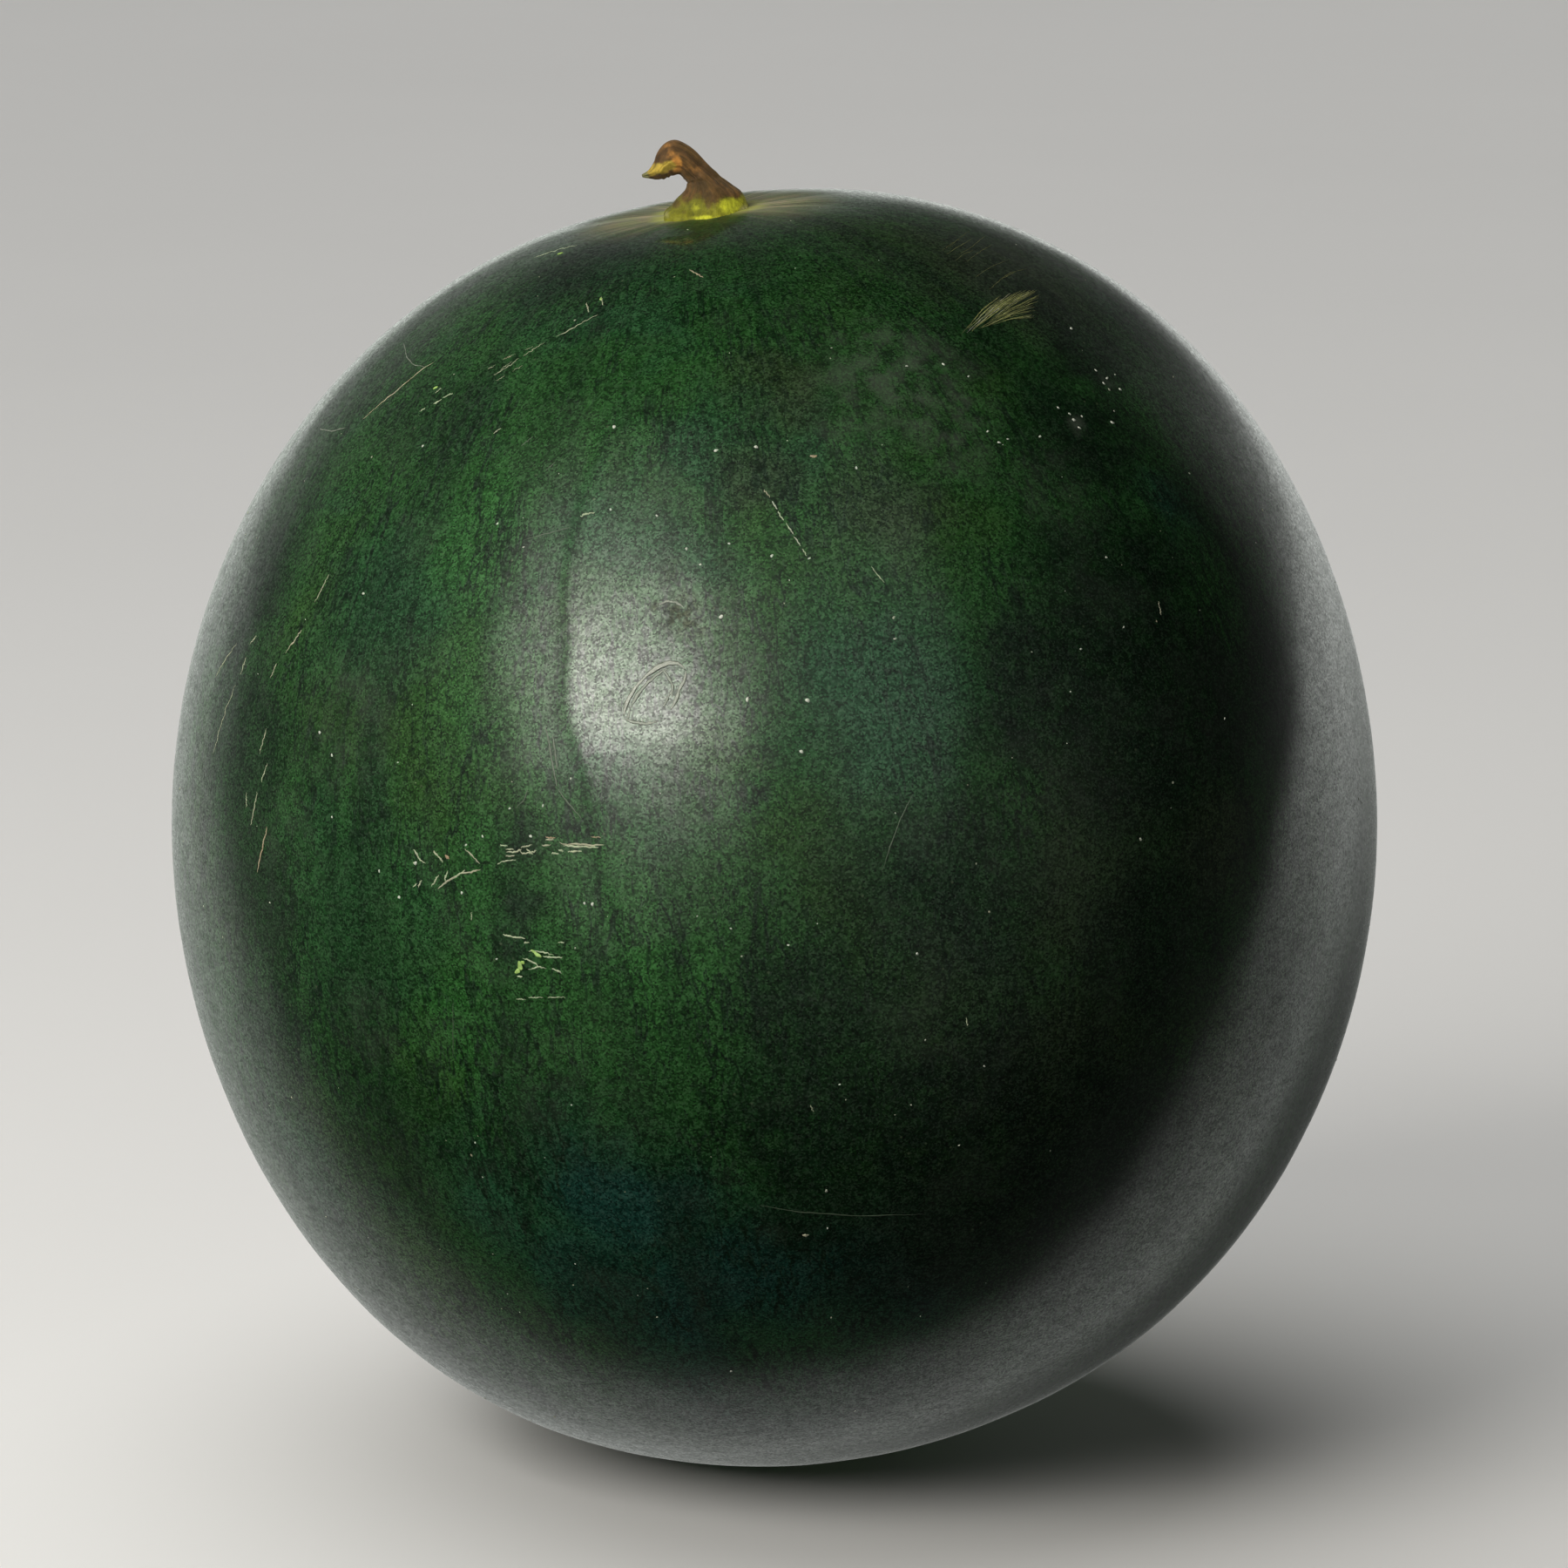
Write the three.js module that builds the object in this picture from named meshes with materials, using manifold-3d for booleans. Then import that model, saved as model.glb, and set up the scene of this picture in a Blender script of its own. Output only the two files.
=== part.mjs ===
// A round, dark-skinned watermelon with the dried stub of its stem.
// Millimetres, +Z up. The origin lies on the surface that the fruit stands on, below the middle of its belt.

import * as THREE from "three";
import { mergeVertices } from "three/addons/utils/BufferGeometryUtils.js";
import Module from "manifold-3d";

// The fruit is a unit sphere, stretched and filled out, then set down on a flat spot.
const BELT_RADIUS = 105; // half of the width at the belt
const HALF_HEIGHT = 111.6; // from the belt to either end
const END_FULLNESS = 0.029; // extra girth away from the belt, with the square of the height
const SHOULDER_FULLNESS = 0.046; // extra girth near the ends, with its fourth power
const SHOULDER_LIFT = 3; // how far the shoulder across from the stem is raised

// The flat spot that the fruit rests on.
const FLAT_DEPTH = 2.3; // how much of the round base is pressed flat
const FLAT_EASE = 0.5; // the skin eases into the flat spot over this height, up and down
const BELT_LEVEL = HALF_HEIGHT - FLAT_DEPTH; // the belt's height above the flat spot

// Low relief of the skin. Angles are in radians, seen from the middle of the fruit.
const LOBES = 10; // faint ribs from end to end
const LOBE_HEIGHT = 0.2;
const SWELL_HEIGHT = 0.2; // broad, uneven swellings, each a wave over the skin
const SWELL_WAVES = [new THREE.Vector3(3.1, 0.4, 2.7), new THREE.Vector3(-0.8, 3.7, 2.3)];
const HOLLOW_DEPTH = 2.6; // the shallow hollow that the stem stands in
const HOLLOW_ANGLE = 0.19;
const PUCKER_HEIGHT = 0.14; // the ribs draw together round the stem
const PUCKER_ANGLE = 0.13;
const SCAR_DEPTH = 0.7; // the blossom's scar, a small pit in the flat spot
const SCAR_ANGLE = 0.07;

// The way from the middle of the fruit to the stem: up, a little to the left and to the front.
const STEM_WAY = new THREE.Vector3(-0.1055, -0.03, 1).normalize();

// The stub's stations, from its foot to its torn tip. It leans to the left, thickens into a knot and droops to
// a point. Each is [x, y, z, lean, half-width, half-depth]: the middle of the section, how far the section
// leans over from level in degrees, and its size.
const STEM_STATIONS = [
  [-0.3, -0.2, -4, 0, 7.6, 7.9],
  [-0.3, -0.2, -0.6, 0, 7.5, 7.8],
  [-0.25, -0.15, 0.4, 1, 7.0, 7.3],
  [-0.15, -0.1, 1.3, 3, 6.4, 6.6],
  [0.05, 0, 2.3, 4, 5.9, 6.0],
  [0.25, 0, 3.3, 5, 5.15, 5.1],
  [0.1, 0, 4.4, 6, 3.95, 4.0],
  [-0.45, 0, 5.4, 8, 3.05, 3.1],
  [-1.2, -0.1, 6.3, 18, 2.55, 2.7],
  [-2.2, -0.2, 7.2, 36, 2.3, 2.5],
  [-3.9, -0.3, 8.9, 72, 2.45, 2.6],
  [-5.9, -0.45, 9.4, 87, 2.95, 2.8],
  [-7.4, -0.6, 8.6, 104, 2.5, 2.6],
  [-8.4, -0.7, 7.4, 112, 1.6, 2.0],
  [-9.4, -0.8, 6.75, 112, 0.9, 1.3],
  [-11.2, -1, 6.35, 108, 0.2, 0.4],
];
const STEM_RIDGES = 5; // ridges along the dried stub
const STEM_RIDGE_SHARE = 0.06; // their height, as a share of the thickness
const STEM_TWIST = 1.2; // how far the ridges turn round the stub, in radians
const SKIN_GAP = 0.3; // between the stub's foot and the skin below it

// How fine the facets are.
const FRUIT_SIDES = 72;
const FRUIT_RINGS = 56;
const RING_CROWDING = 0.6; // draws the rings together towards both ends
const STEM_SIDES = 20;
const STEM_RINGS = 44;
const MERGE_DISTANCE = 1e-3;

const wasm = await Module();
wasm.setup();

// A sphere's closed grid, with each vertex moved to where place(around, along, target) puts it.
// around runs counter-clockwise from 0 to 2 PI, and along from 0 at the upper pole to 1 at the lower.
function closedGrid(sides, rings, place) {
  const geometry = new THREE.SphereGeometry(1, sides, rings);
  const position = geometry.getAttribute("position");
  const target = new THREE.Vector3();
  for (let i = 0; i < position.count; i += 1) {
    const ring = Math.floor(i / (sides + 1));
    const side = (i % (sides + 1)) % sides;
    place((2 * Math.PI * side) / sides, ring / rings, target);
    position.setXYZ(i, target.x, target.y, target.z);
  }
  geometry.deleteAttribute("normal");
  geometry.deleteAttribute("uv");
  return mergeVertices(geometry, MERGE_DISTANCE);
}

// A bell that is 1 at angle 0 and dies away past the given width.
function bell(angle, width) {
  return Math.exp(-((angle / width) ** 2));
}

// A dimple that is 1 at angle 0 and ends at the given width.
function dimple(angle, width) {
  return Math.max(0, 1 - (angle / width) ** 2) ** 2;
}

// A height above the resting surface, with what lies below pressed flat and the edge eased.
function pressedFlat(height) {
  const eased = (height + FLAT_EASE) ** 2 / (4 * FLAT_EASE);
  if (height >= FLAT_EASE) return height;
  return height <= -FLAT_EASE ? 0 : eased;
}

// How far the skin stands out from the plain form.
function relief(around, fromStem, way) {
  const ribs = Math.cos(LOBES * around);
  const lobes = LOBE_HEIGHT * ribs * Math.sin(fromStem) ** 2;
  const swellings = SWELL_WAVES.reduce((sum, wave) => sum + SWELL_HEIGHT * Math.sin(wave.dot(way)), 0);
  const hollow = HOLLOW_DEPTH * bell(fromStem, HOLLOW_ANGLE);
  const puckers = PUCKER_HEIGHT * ribs * (fromStem / PUCKER_ANGLE) ** 2 * bell(fromStem, PUCKER_ANGLE);
  return lobes + swellings - hollow + puckers;
}

// The rings and ribs run from the stem to the blossom's scar at the other end.
const stemTurn = new THREE.Quaternion().setFromUnitVectors(new THREE.Vector3(0, 0, 1), STEM_WAY);

function skinPoint(around, along, target) {
  const fromStem = Math.PI * along - (RING_CROWDING / 2) * Math.sin(2 * Math.PI * along);
  const sine = Math.sin(fromStem);
  const way = new THREE.Vector3(sine * Math.cos(around), sine * Math.sin(around), Math.cos(fromStem));
  way.applyQuaternion(stemTurn);
  const radius = BELT_RADIUS * (1 + END_FULLNESS * way.z ** 2 + SHOULDER_FULLNESS * way.z ** 4);
  const height = BELT_LEVEL + HALF_HEIGHT * way.z + SHOULDER_LIFT * way.x * way.z ** 2;
  target.set(radius * way.x, radius * way.y, height);
  target.addScaledVector(way, relief(around, fromStem, way));
  target.z = pressedFlat(target.z) + SCAR_DEPTH * dimple(Math.PI - fromStem, SCAR_ANGLE);
}

// The middle of the stub's section, and the section's lean, half-width and half-depth.
const stemLine = new THREE.CatmullRomCurve3(
  STEM_STATIONS.map(([x, y, z]) => new THREE.Vector3(x, y, z)),
);
const stemSection = new THREE.CatmullRomCurve3(
  STEM_STATIONS.map(([, , , lean, width, depth]) => new THREE.Vector3(lean, width, depth)),
);

// The stub's upper pole is its tip, and both ends close on the middle line.
function stemPoint(around, along, target) {
  const fromFoot = 1 - along;
  const [lean, width, depth] = stemSection.getPoint(fromFoot);
  const slope = THREE.MathUtils.degToRad(lean);
  const isEnd = along === 0 || along === 1;
  const ridge = 1 + STEM_RIDGE_SHARE * Math.cos(STEM_RIDGES * around + STEM_TWIST * fromFoot);
  const swing = isEnd ? 0 : ridge;
  const across = width * swing * Math.cos(around);
  stemLine.getPoint(fromFoot, target);
  target.x += across * Math.cos(slope);
  target.y += depth * swing * Math.sin(around);
  target.z += across * Math.sin(slope);
}

function solidOf(geometry) {
  return new wasm.Manifold(
    new wasm.Mesh({
      numProp: 3,
      vertProperties: geometry.getAttribute("position").array,
      triVerts: new Uint32Array(geometry.index.array),
    }),
  );
}

function geometryOf(solid) {
  const { vertProperties, triVerts } = solid.getMesh();
  return new THREE.BufferGeometry()
    .setAttribute("position", new THREE.BufferAttribute(vertProperties, 3))
    .setIndex(new THREE.BufferAttribute(triVerts, 1));
}

function makeFruit() {
  const skin = new THREE.MeshStandardMaterial({ color: 0x1c3a1e, roughness: 0.38, metalness: 0 });
  const fruit = new THREE.Mesh(closedGrid(FRUIT_SIDES, FRUIT_RINGS, skinPoint), skin);
  fruit.name = "fruit";
  return fruit;
}

// The stub stands where the ribs meet, and its foot is cut to the skin below it.
function makeStem(fruit) {
  const foot = new THREE.Vector3();
  skinPoint(0, 0, foot);
  const skinBelow = solidOf(fruit.geometry).translate([-foot.x, -foot.y, SKIN_GAP - foot.z]);
  const stub = solidOf(closedGrid(STEM_SIDES, STEM_RINGS, stemPoint)).subtract(skinBelow);
  const bark = new THREE.MeshStandardMaterial({ color: 0x7a5228, roughness: 0.85, metalness: 0 });
  const stem = new THREE.Mesh(geometryOf(stub), bark);
  stem.position.copy(foot);
  stem.name = "stem";
  return stem;
}

const watermelon = new THREE.Group();
const fruit = makeFruit();
watermelon.add(fruit, makeStem(fruit));

export default watermelon;
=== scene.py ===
import math

import bpy
import numpy as np
from bpy.props import FloatProperty, FloatVectorProperty, IntProperty, PointerProperty
from mathutils import Matrix, Vector


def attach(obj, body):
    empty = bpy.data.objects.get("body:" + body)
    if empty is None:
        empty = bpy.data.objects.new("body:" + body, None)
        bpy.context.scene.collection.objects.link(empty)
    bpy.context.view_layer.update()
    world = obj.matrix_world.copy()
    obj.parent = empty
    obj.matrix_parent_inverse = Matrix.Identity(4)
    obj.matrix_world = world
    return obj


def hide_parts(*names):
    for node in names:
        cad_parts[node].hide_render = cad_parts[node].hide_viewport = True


# A round, dark-skinned watermelon with the dried stub of its stem. Metres, +Z up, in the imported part's frame.

bl_info = {
    "name": "Watermelon",
    "version": (1, 0, 0),
    "blender": (4, 5, 0),
    "location": "3D View > Sidebar > Watermelon",
    "description": "A round, dark-skinned watermelon with the dried stub of its stem, in a small studio",
    "category": "Add Mesh",
}

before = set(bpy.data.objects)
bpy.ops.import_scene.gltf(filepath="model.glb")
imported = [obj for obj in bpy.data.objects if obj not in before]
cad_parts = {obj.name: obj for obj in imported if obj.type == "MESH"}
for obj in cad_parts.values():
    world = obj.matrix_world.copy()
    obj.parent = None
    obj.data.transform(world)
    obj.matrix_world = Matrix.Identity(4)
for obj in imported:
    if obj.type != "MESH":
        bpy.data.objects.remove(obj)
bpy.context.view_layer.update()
MM = 0.001

# ---- settings

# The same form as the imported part's fruit.
END_FULLNESS = 0.029  # extra girth away from the belt, with the square of the height
SHOULDER_FULLNESS = 0.046  # extra girth near the ends, with its fourth power
SHOULDER_LIFT = 3 * MM  # how far the shoulder across from the stem is raised
FLAT_DEPTH = 2.3 * MM  # how much of the round base is pressed flat
FLAT_EASE = 0.5 * MM  # the skin eases into the flat spot over this height
LOBES = 10  # faint ribs from end to end
SWELL_HEIGHT = 0.2 * MM
SWELL_WAVES = np.array([(3.1, 0.4, 2.7), (-0.8, 3.7, 2.3)])
HOLLOW_ANGLE = 0.19
PUCKER_HEIGHT = 0.14 * MM
PUCKER_ANGLE = 0.13
SCAR_DEPTH = 0.7 * MM
SCAR_ANGLE = 0.07
STEM_AIM = (-0.1055, -0.03, 1.0)

# Finer relief that the solids leave out.
LUMP_SEED = 11
LUMP_COUNT = 26
LUMP_PITCH = (22.0, 62.0)  # waves per radian of the skin
FURROW_COUNTS = (23, 37, 58)
FURROW_HEIGHT = 0.006 * MM
NORMAL_STEP = 1e-3  # in radians, for the slope of the skin

# Small dents: the place of each in frame units, and its width and depth in millimetres.
DENTS = np.array([
    (782, 699, 2.6, 0.10), (752, 695, 1.0, 0.03), (801, 728, 1.4, 0.03), (826, 648, 1.6, 0.04),
    (690, 790, 3.2, 0.05), (705, 812, 1.6, 0.03),
])

# The stub's stations, from its foot to its torn tip: the middle of the section, how far the section leans
# over from level in degrees, its half-width and its half-depth. Millimetres from the foot.
STUB_STATIONS = np.array([
    (-0.3, -0.2, -4, 0, 7.6, 7.9),
    (-0.3, -0.2, -0.6, 0, 7.5, 7.8),
    (-0.25, -0.15, 0.4, 1, 7.0, 7.3),
    (-0.15, -0.1, 1.3, 3, 6.4, 6.6),
    (0.05, 0, 2.3, 4, 5.9, 6.0),
    (0.25, 0, 3.3, 5, 5.15, 5.1),
    (0.1, 0, 4.4, 6, 3.95, 4.0),
    (-0.45, 0, 5.4, 8, 3.05, 3.1),
    (-1.2, -0.1, 6.3, 18, 2.55, 2.7),
    (-2.2, -0.2, 7.2, 36, 2.3, 2.5),
    (-3.9, -0.3, 8.9, 72, 2.45, 2.6),
    (-5.9, -0.45, 9.4, 87, 2.95, 2.8),
    (-7.4, -0.6, 8.6, 104, 2.5, 2.6),
    (-8.4, -0.7, 7.4, 112, 1.6, 2.0),
    (-9.4, -0.8, 6.75, 112, 0.9, 1.3),
    (-11.2, -1, 6.35, 108, 0.2, 0.4),
])

# The camera's view. Marks on the skin are given in frame units, across and down the square frame.
FRAME_UNITS = 1800.0
FRAME_WIDTH = 0.2745  # metres across the frame, at the belt's middle
FRAME_UNIT = FRAME_WIDTH / FRAME_UNITS
SENSOR_WIDTH = 36.0
VIEW_ELEVATION = math.radians(12)
VIEW_RIGHT = np.array((1.0, 0.0, 0.0))
VIEW_UP = np.array((0.0, math.sin(VIEW_ELEVATION), math.cos(VIEW_ELEVATION)))
VIEW_BACK = np.array((0.0, -math.cos(VIEW_ELEVATION), math.sin(VIEW_ELEVATION)))  # towards the camera
VIEW_OFFSET = (1.543 * MM, 7.33 * MM)  # how far the camera aims to the right of and above the belt's middle
CAMERA_DISTANCE = 1.2
FRAME_MIDDLE = np.array((890.0, 947.0))  # the fruit's middle in the frame
FRAME_RADII = np.array((689.0, 731.0))  # its half-width and half-height there
VIEW_ROUNDS = 24  # corrections until a way's skin point is seen at its place


def length_property(name, description, default, precision=2):
    """A length that a user can change."""
    return FloatProperty(
        name=name, description=description, default=default, unit="LENGTH", precision=precision)


def strength_property(name, description, default):
    """A light's strength that a user can change."""
    return FloatProperty(name=name, description=description, default=default, min=0)


def colour_property(name, description, default):
    """A colour that a user can change."""
    return FloatVectorProperty(
        name=name, description=description, default=default, size=3, subtype="COLOR", min=0, max=1)


class MelonShape(bpy.types.PropertyGroup):
    belt_radius: length_property("Belt radius", "Half of the fruit's width at its belt", 0.105)
    half_height: length_property(
        "Half height", "From the belt to either end, before the base is pressed flat", 0.1116)
    lobe_height: length_property("Rib height", "Height of the faint ribs from end to end", 0.0002, 5)
    hollow_depth: length_property(
        "Hollow depth", "Depth of the shallow hollow that the stub stands in", 0.0026, 5)
    lump_height: length_property(
        "Lump height", "Height of each of the small waves that dimple the skin", 0.0000045, 7)
    speck_count: IntProperty(
        name="Specks", description="Number of scattered pale specks", default=420, min=0, max=2000)


class SkinFinish(bpy.types.PropertyGroup):
    leaf: colour_property("Leaf green", "The skin's main green", (0.0130, 0.0615, 0.0112))
    # The deep green also paints the shade of the darkest patches.
    deep: colour_property("Deep green", "The darker green of the veins and bands", (0.0024, 0.0137, 0.0043))
    olive: colour_property("Olive", "The yellower patches", (0.0196, 0.0543, 0.0067))
    pine: colour_property("Pine", "The bluer patches", (0.0072, 0.0436, 0.0308))
    # The bloom's pale also paints sheen on the left of the front.
    bloom: colour_property("Bloom", "The pale, waxy bloom", (0.105, 0.130, 0.095))
    roughness: FloatProperty(
        name="Roughness", description="Roughness of the skin under its wax", default=0.44, min=0, max=1,
        subtype="FACTOR")


class StubFinish(bpy.types.PropertyGroup):
    bark: colour_property("Bark", "The dried stub's brown", (0.134, 0.069, 0.0205))
    dark: colour_property("Dark bark", "The darker brown in the creases", (0.070, 0.041, 0.0105))
    orange: colour_property("Orange bark", "The warm patches under the crook", (0.60, 0.27, 0.055))
    sap: colour_property("Sap yellow", "The fresh yellow-green at the foot", (0.188, 0.185, 0.0105))
    gold: colour_property("Gold", "The dried yellow under the torn head", (0.62, 0.44, 0.065))


class StudioLight(bpy.types.PropertyGroup):
    window_strength: strength_property("Window", "Radiance of the soft window that the wax mirrors", 14.2)
    side_strength: strength_property("Side light", "Radiance of the broad light from the left", 8.2)
    surround_strength: strength_property("Surround", "Radiance of the pale surround behind the fruit", 1.2)
    fill_strength: strength_property("Fill", "Radiance of the soft light on the stub's right side", 6.0)
    overhead_strength: strength_property("Overhead", "Strength of the very soft light over the floor", 2.0)
    floor_colour: colour_property("Floor", "The plain pale floor", (0.70, 0.69, 0.67))
    floor_size: length_property("Floor size", "Side of the square floor", 14.0)


# ---- small helpers


def unit(vectors):
    """The vectors scaled to a length of one."""
    return vectors / np.linalg.norm(vectors, axis=-1, keepdims=True)


def bell(angle, width):
    """A bell that is 1 at angle 0 and dies away past the given width."""
    return np.exp(-((angle / width) ** 2))


def dimple(angle, width):
    """A dimple that is 1 at angle 0 and ends at the given width."""
    return np.maximum(0, 1 - (angle / width) ** 2) ** 2


def rise(value, low, high):
    """0 below low, 1 above high, with an S-shaped rise between them."""
    share = np.clip((value - low) / (high - low), 0, 1)
    return share * share * (3 - 2 * share)


def turn_to(way):
    """The rotation matrix that takes +Z to way, about the line square to both."""
    matrix = Vector((0, 0, 1)).rotation_difference(Vector(way)).to_matrix()
    return np.array(matrix)


def aimed(azimuth, elevation):
    """The way with an azimuth, from the camera's side to the right, and an elevation, in degrees."""
    a, e = math.radians(azimuth), math.radians(elevation)
    return np.array((math.sin(a) * math.cos(e), -math.cos(a) * math.cos(e), math.sin(e)))


STEM_WAY = unit(np.array(STEM_AIM))
STEM_TURN = turn_to(STEM_WAY)


def closed_grids(points):
    """Vertices and faces of closed surfaces, from points shaped (surfaces, rings, sides, 3).

    The first and last ring of each surface are single points, its poles. Sides run counter-clockwise seen
    from before the first ring, so the faces point outwards.
    """
    count, rings, sides = points.shape[:3]
    vertices = np.concatenate(
        [points[:, 0, :1], points[:, 1:-1].reshape(count, -1, 3), points[:, -1, :1]], axis=1)
    side = np.arange(sides)
    after = (side + 1) % sides
    ring = 1 + sides * np.arange(rings - 3)[:, None]
    quads = np.stack([ring + side, ring + sides + side, ring + sides + after, ring + after], axis=-1)
    last = 1 + sides * (rings - 2)
    top = np.stack([np.zeros_like(side), 1 + side, 1 + after], axis=-1)
    bottom = np.stack([np.full_like(side, last), last - sides + after, last - sides + side], axis=-1)
    start = vertices.shape[1] * np.arange(count)[:, None, None]
    quads = (quads.reshape(1, -1, 4) + start).reshape(-1, 4)
    caps = (np.concatenate([top, bottom])[None] + start).reshape(-1, 3)
    return vertices.reshape(-1, 3), quads, caps


def per_vertex(values):
    """Values given for each point of closed grids, in the order of closed_grids' vertices."""
    count = values.shape[0]
    tail = values.shape[3:]
    parts = [values[:, 0, :1], values[:, 1:-1].reshape(count, -1, *tail), values[:, -1, :1]]
    return np.concatenate(parts, axis=1).reshape(-1, *tail)


def make_piece(name, points, material, stands_for=None, attributes=None):
    """Puts closed grids into a new smooth mesh object that rides on the root body."""
    vertices, quads, caps = closed_grids(points)
    mesh = bpy.data.meshes.new(name)
    mesh.from_pydata(vertices.tolist(), [], quads.tolist() + caps.tolist())
    mesh.polygons.foreach_set("use_smooth", np.ones(len(mesh.polygons), bool))
    for label, values in (attributes or {}).items():
        flat = per_vertex(values)
        kind, field = ("FLOAT_VECTOR", "vector") if flat.ndim == 2 else ("FLOAT", "value")
        layer = mesh.attributes.new(label, kind, "POINT")
        layer.data.foreach_set(field, flat.astype(np.float32).ravel())
    mesh.materials.append(material)
    mesh.update()
    piece = bpy.data.objects.new(name, mesh)
    bpy.context.scene.collection.objects.link(piece)
    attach(piece, "root")
    if stands_for:
        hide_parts(stands_for)
    return piece


# ---- the skin's form


def belt_level(shape):
    """The belt's height above the floor."""
    return shape.half_height - FLAT_DEPTH


def meridian(way):
    """How far round the stem's axis and how far from the stem each way lies, in radians."""
    local = way @ STEM_TURN
    return np.arctan2(local[..., 1], local[..., 0]), np.arccos(np.clip(local[..., 2], -1, 1))


def main_relief(way, shape):
    """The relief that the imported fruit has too.

    Ribs are a cosine round the stem's axis, swellings are sines over the skin, the hollow is a bell round the
    stem, and the puckers are ribs that swell and die away round it.
    """
    around, from_stem = meridian(way)
    ribs = np.cos(LOBES * around)
    lobes = shape.lobe_height * ribs * np.sin(from_stem) ** 2
    swellings = SWELL_HEIGHT * np.sin(way @ SWELL_WAVES.T).sum(axis=-1)
    hollow = shape.hollow_depth * bell(from_stem, HOLLOW_ANGLE)
    puckers = PUCKER_HEIGHT * ribs * (from_stem / PUCKER_ANGLE) ** 2 * bell(from_stem, PUCKER_ANGLE)
    return lobes + swellings - hollow + puckers


def fine_relief(way, shape):
    """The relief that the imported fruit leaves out.

    Low lumps are a sum of small waves in seeded directions, furrows are cosines round the stem's axis, and
    each dent is a bell round its own place.
    """
    rng = np.random.default_rng(LUMP_SEED)
    waves = unit(rng.normal(size=(LUMP_COUNT, 3))) * rng.uniform(*LUMP_PITCH, (LUMP_COUNT, 1))
    phase = rng.uniform(0, 2 * math.pi, LUMP_COUNT)
    lumps = shape.lump_height * np.sin(way @ waves.T + phase).sum(axis=-1)
    around, from_stem = meridian(way)
    sway = 0.06 * np.sin(3 * from_stem + 2 * around)
    furrows = sum(np.cos(count * (around + sway) + count) for count in FURROW_COUNTS)
    middles = way_in_view(DENTS[:, :2], shape)
    dents = sum(depth * MM * bell(np.linalg.norm(way - middle, axis=-1), width * MM / shape.belt_radius)
                for middle, (width, depth) in zip(middles, DENTS[:, 2:]))
    return lumps + FURROW_HEIGHT * furrows * np.sin(from_stem) ** 2 - dents


def skin_point(way, shape, fine=True):
    """The skin's point for each way, a unit vector from the middle of the fruit.

    The unit sphere is stretched to the belt radius and the half height, filled out towards the ends with the
    second and fourth powers of the height, and raised along way by the relief. What would lie below the floor
    is pressed flat, and the blossom's pit is sunk into the flat spot.
    """
    up = way[..., 2]
    radius = shape.belt_radius * (1 + END_FULLNESS * up**2 + SHOULDER_FULLNESS * up**4)
    height = belt_level(shape) + shape.half_height * up + SHOULDER_LIFT * way[..., 0] * up**2
    point = np.stack([radius * way[..., 0], radius * way[..., 1], height], axis=-1)
    relief = main_relief(way, shape) + (fine_relief(way, shape) if fine else 0)
    point += relief[..., None] * way
    level = point[..., 2]
    eased = (level + FLAT_EASE) ** 2 / (4 * FLAT_EASE)
    level = np.where(level >= FLAT_EASE, level, np.where(level <= -FLAT_EASE, 0, eased))
    pit = SCAR_DEPTH * dimple(math.pi - meridian(way)[1], SCAR_ANGLE)
    point[..., 2] = level + pit
    return point


def skin_outward(way, shape):
    """The outward unit normal of the plain skin at each way: the cross product of two short steps on it."""
    helper = np.where(np.abs(way[..., 2:]) < 0.9, np.array((0.0, 0.0, 1.0)), np.array((1.0, 0.0, 0.0)))
    across = unit(np.cross(helper, way))
    along = np.cross(way, across)
    steps = [NORMAL_STEP * leg for leg in (across, along)]
    legs = [skin_point(unit(way + step), shape, False) - skin_point(unit(way - step), shape, False)
            for step in steps]
    return unit(np.cross(*legs))


# ---- the camera's view


def view_target(shape):
    """The point that the camera aims at."""
    right, up = VIEW_OFFSET
    return np.array((0, 0, belt_level(shape))) + right * VIEW_RIGHT + up * VIEW_UP


def framed(points, shape):
    """Where points are seen, in frame units: a perspective view from CAMERA_DISTANCE along VIEW_BACK."""
    offset = points - view_target(shape)
    zoom = FRAME_UNITS / FRAME_WIDTH * CAMERA_DISTANCE / (CAMERA_DISTANCE - offset @ VIEW_BACK)
    across, up = offset @ VIEW_RIGHT * zoom, offset @ VIEW_UP * zoom
    return np.stack([FRAME_UNITS / 2 + across, FRAME_UNITS / 2 - up], axis=-1)


def way_in_view(places, shape):
    """The ways whose skin points are seen at the given places, in frame units.

    Each way's sideways and upright share is corrected by how far its skin point is seen from its place.
    """
    flip = np.array((1.0, -1.0))
    share = (places - FRAME_MIDDLE) * flip / FRAME_RADII
    for _ in range(VIEW_ROUNDS):
        reach = np.linalg.norm(share, axis=-1, keepdims=True)
        share = share * np.minimum(1, 0.9995 / np.maximum(reach, 1e-9))
        depth = np.sqrt(np.maximum(0, 1 - (share**2).sum(axis=-1)))
        way = unit(share[..., :1] * VIEW_RIGHT + share[..., 1:] * VIEW_UP + depth[..., None] * VIEW_BACK)
        share = share + 0.9 * (places - framed(skin_point(way, shape, False), shape)) * flip / FRAME_RADII
    return way


# ---- material nodes


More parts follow.
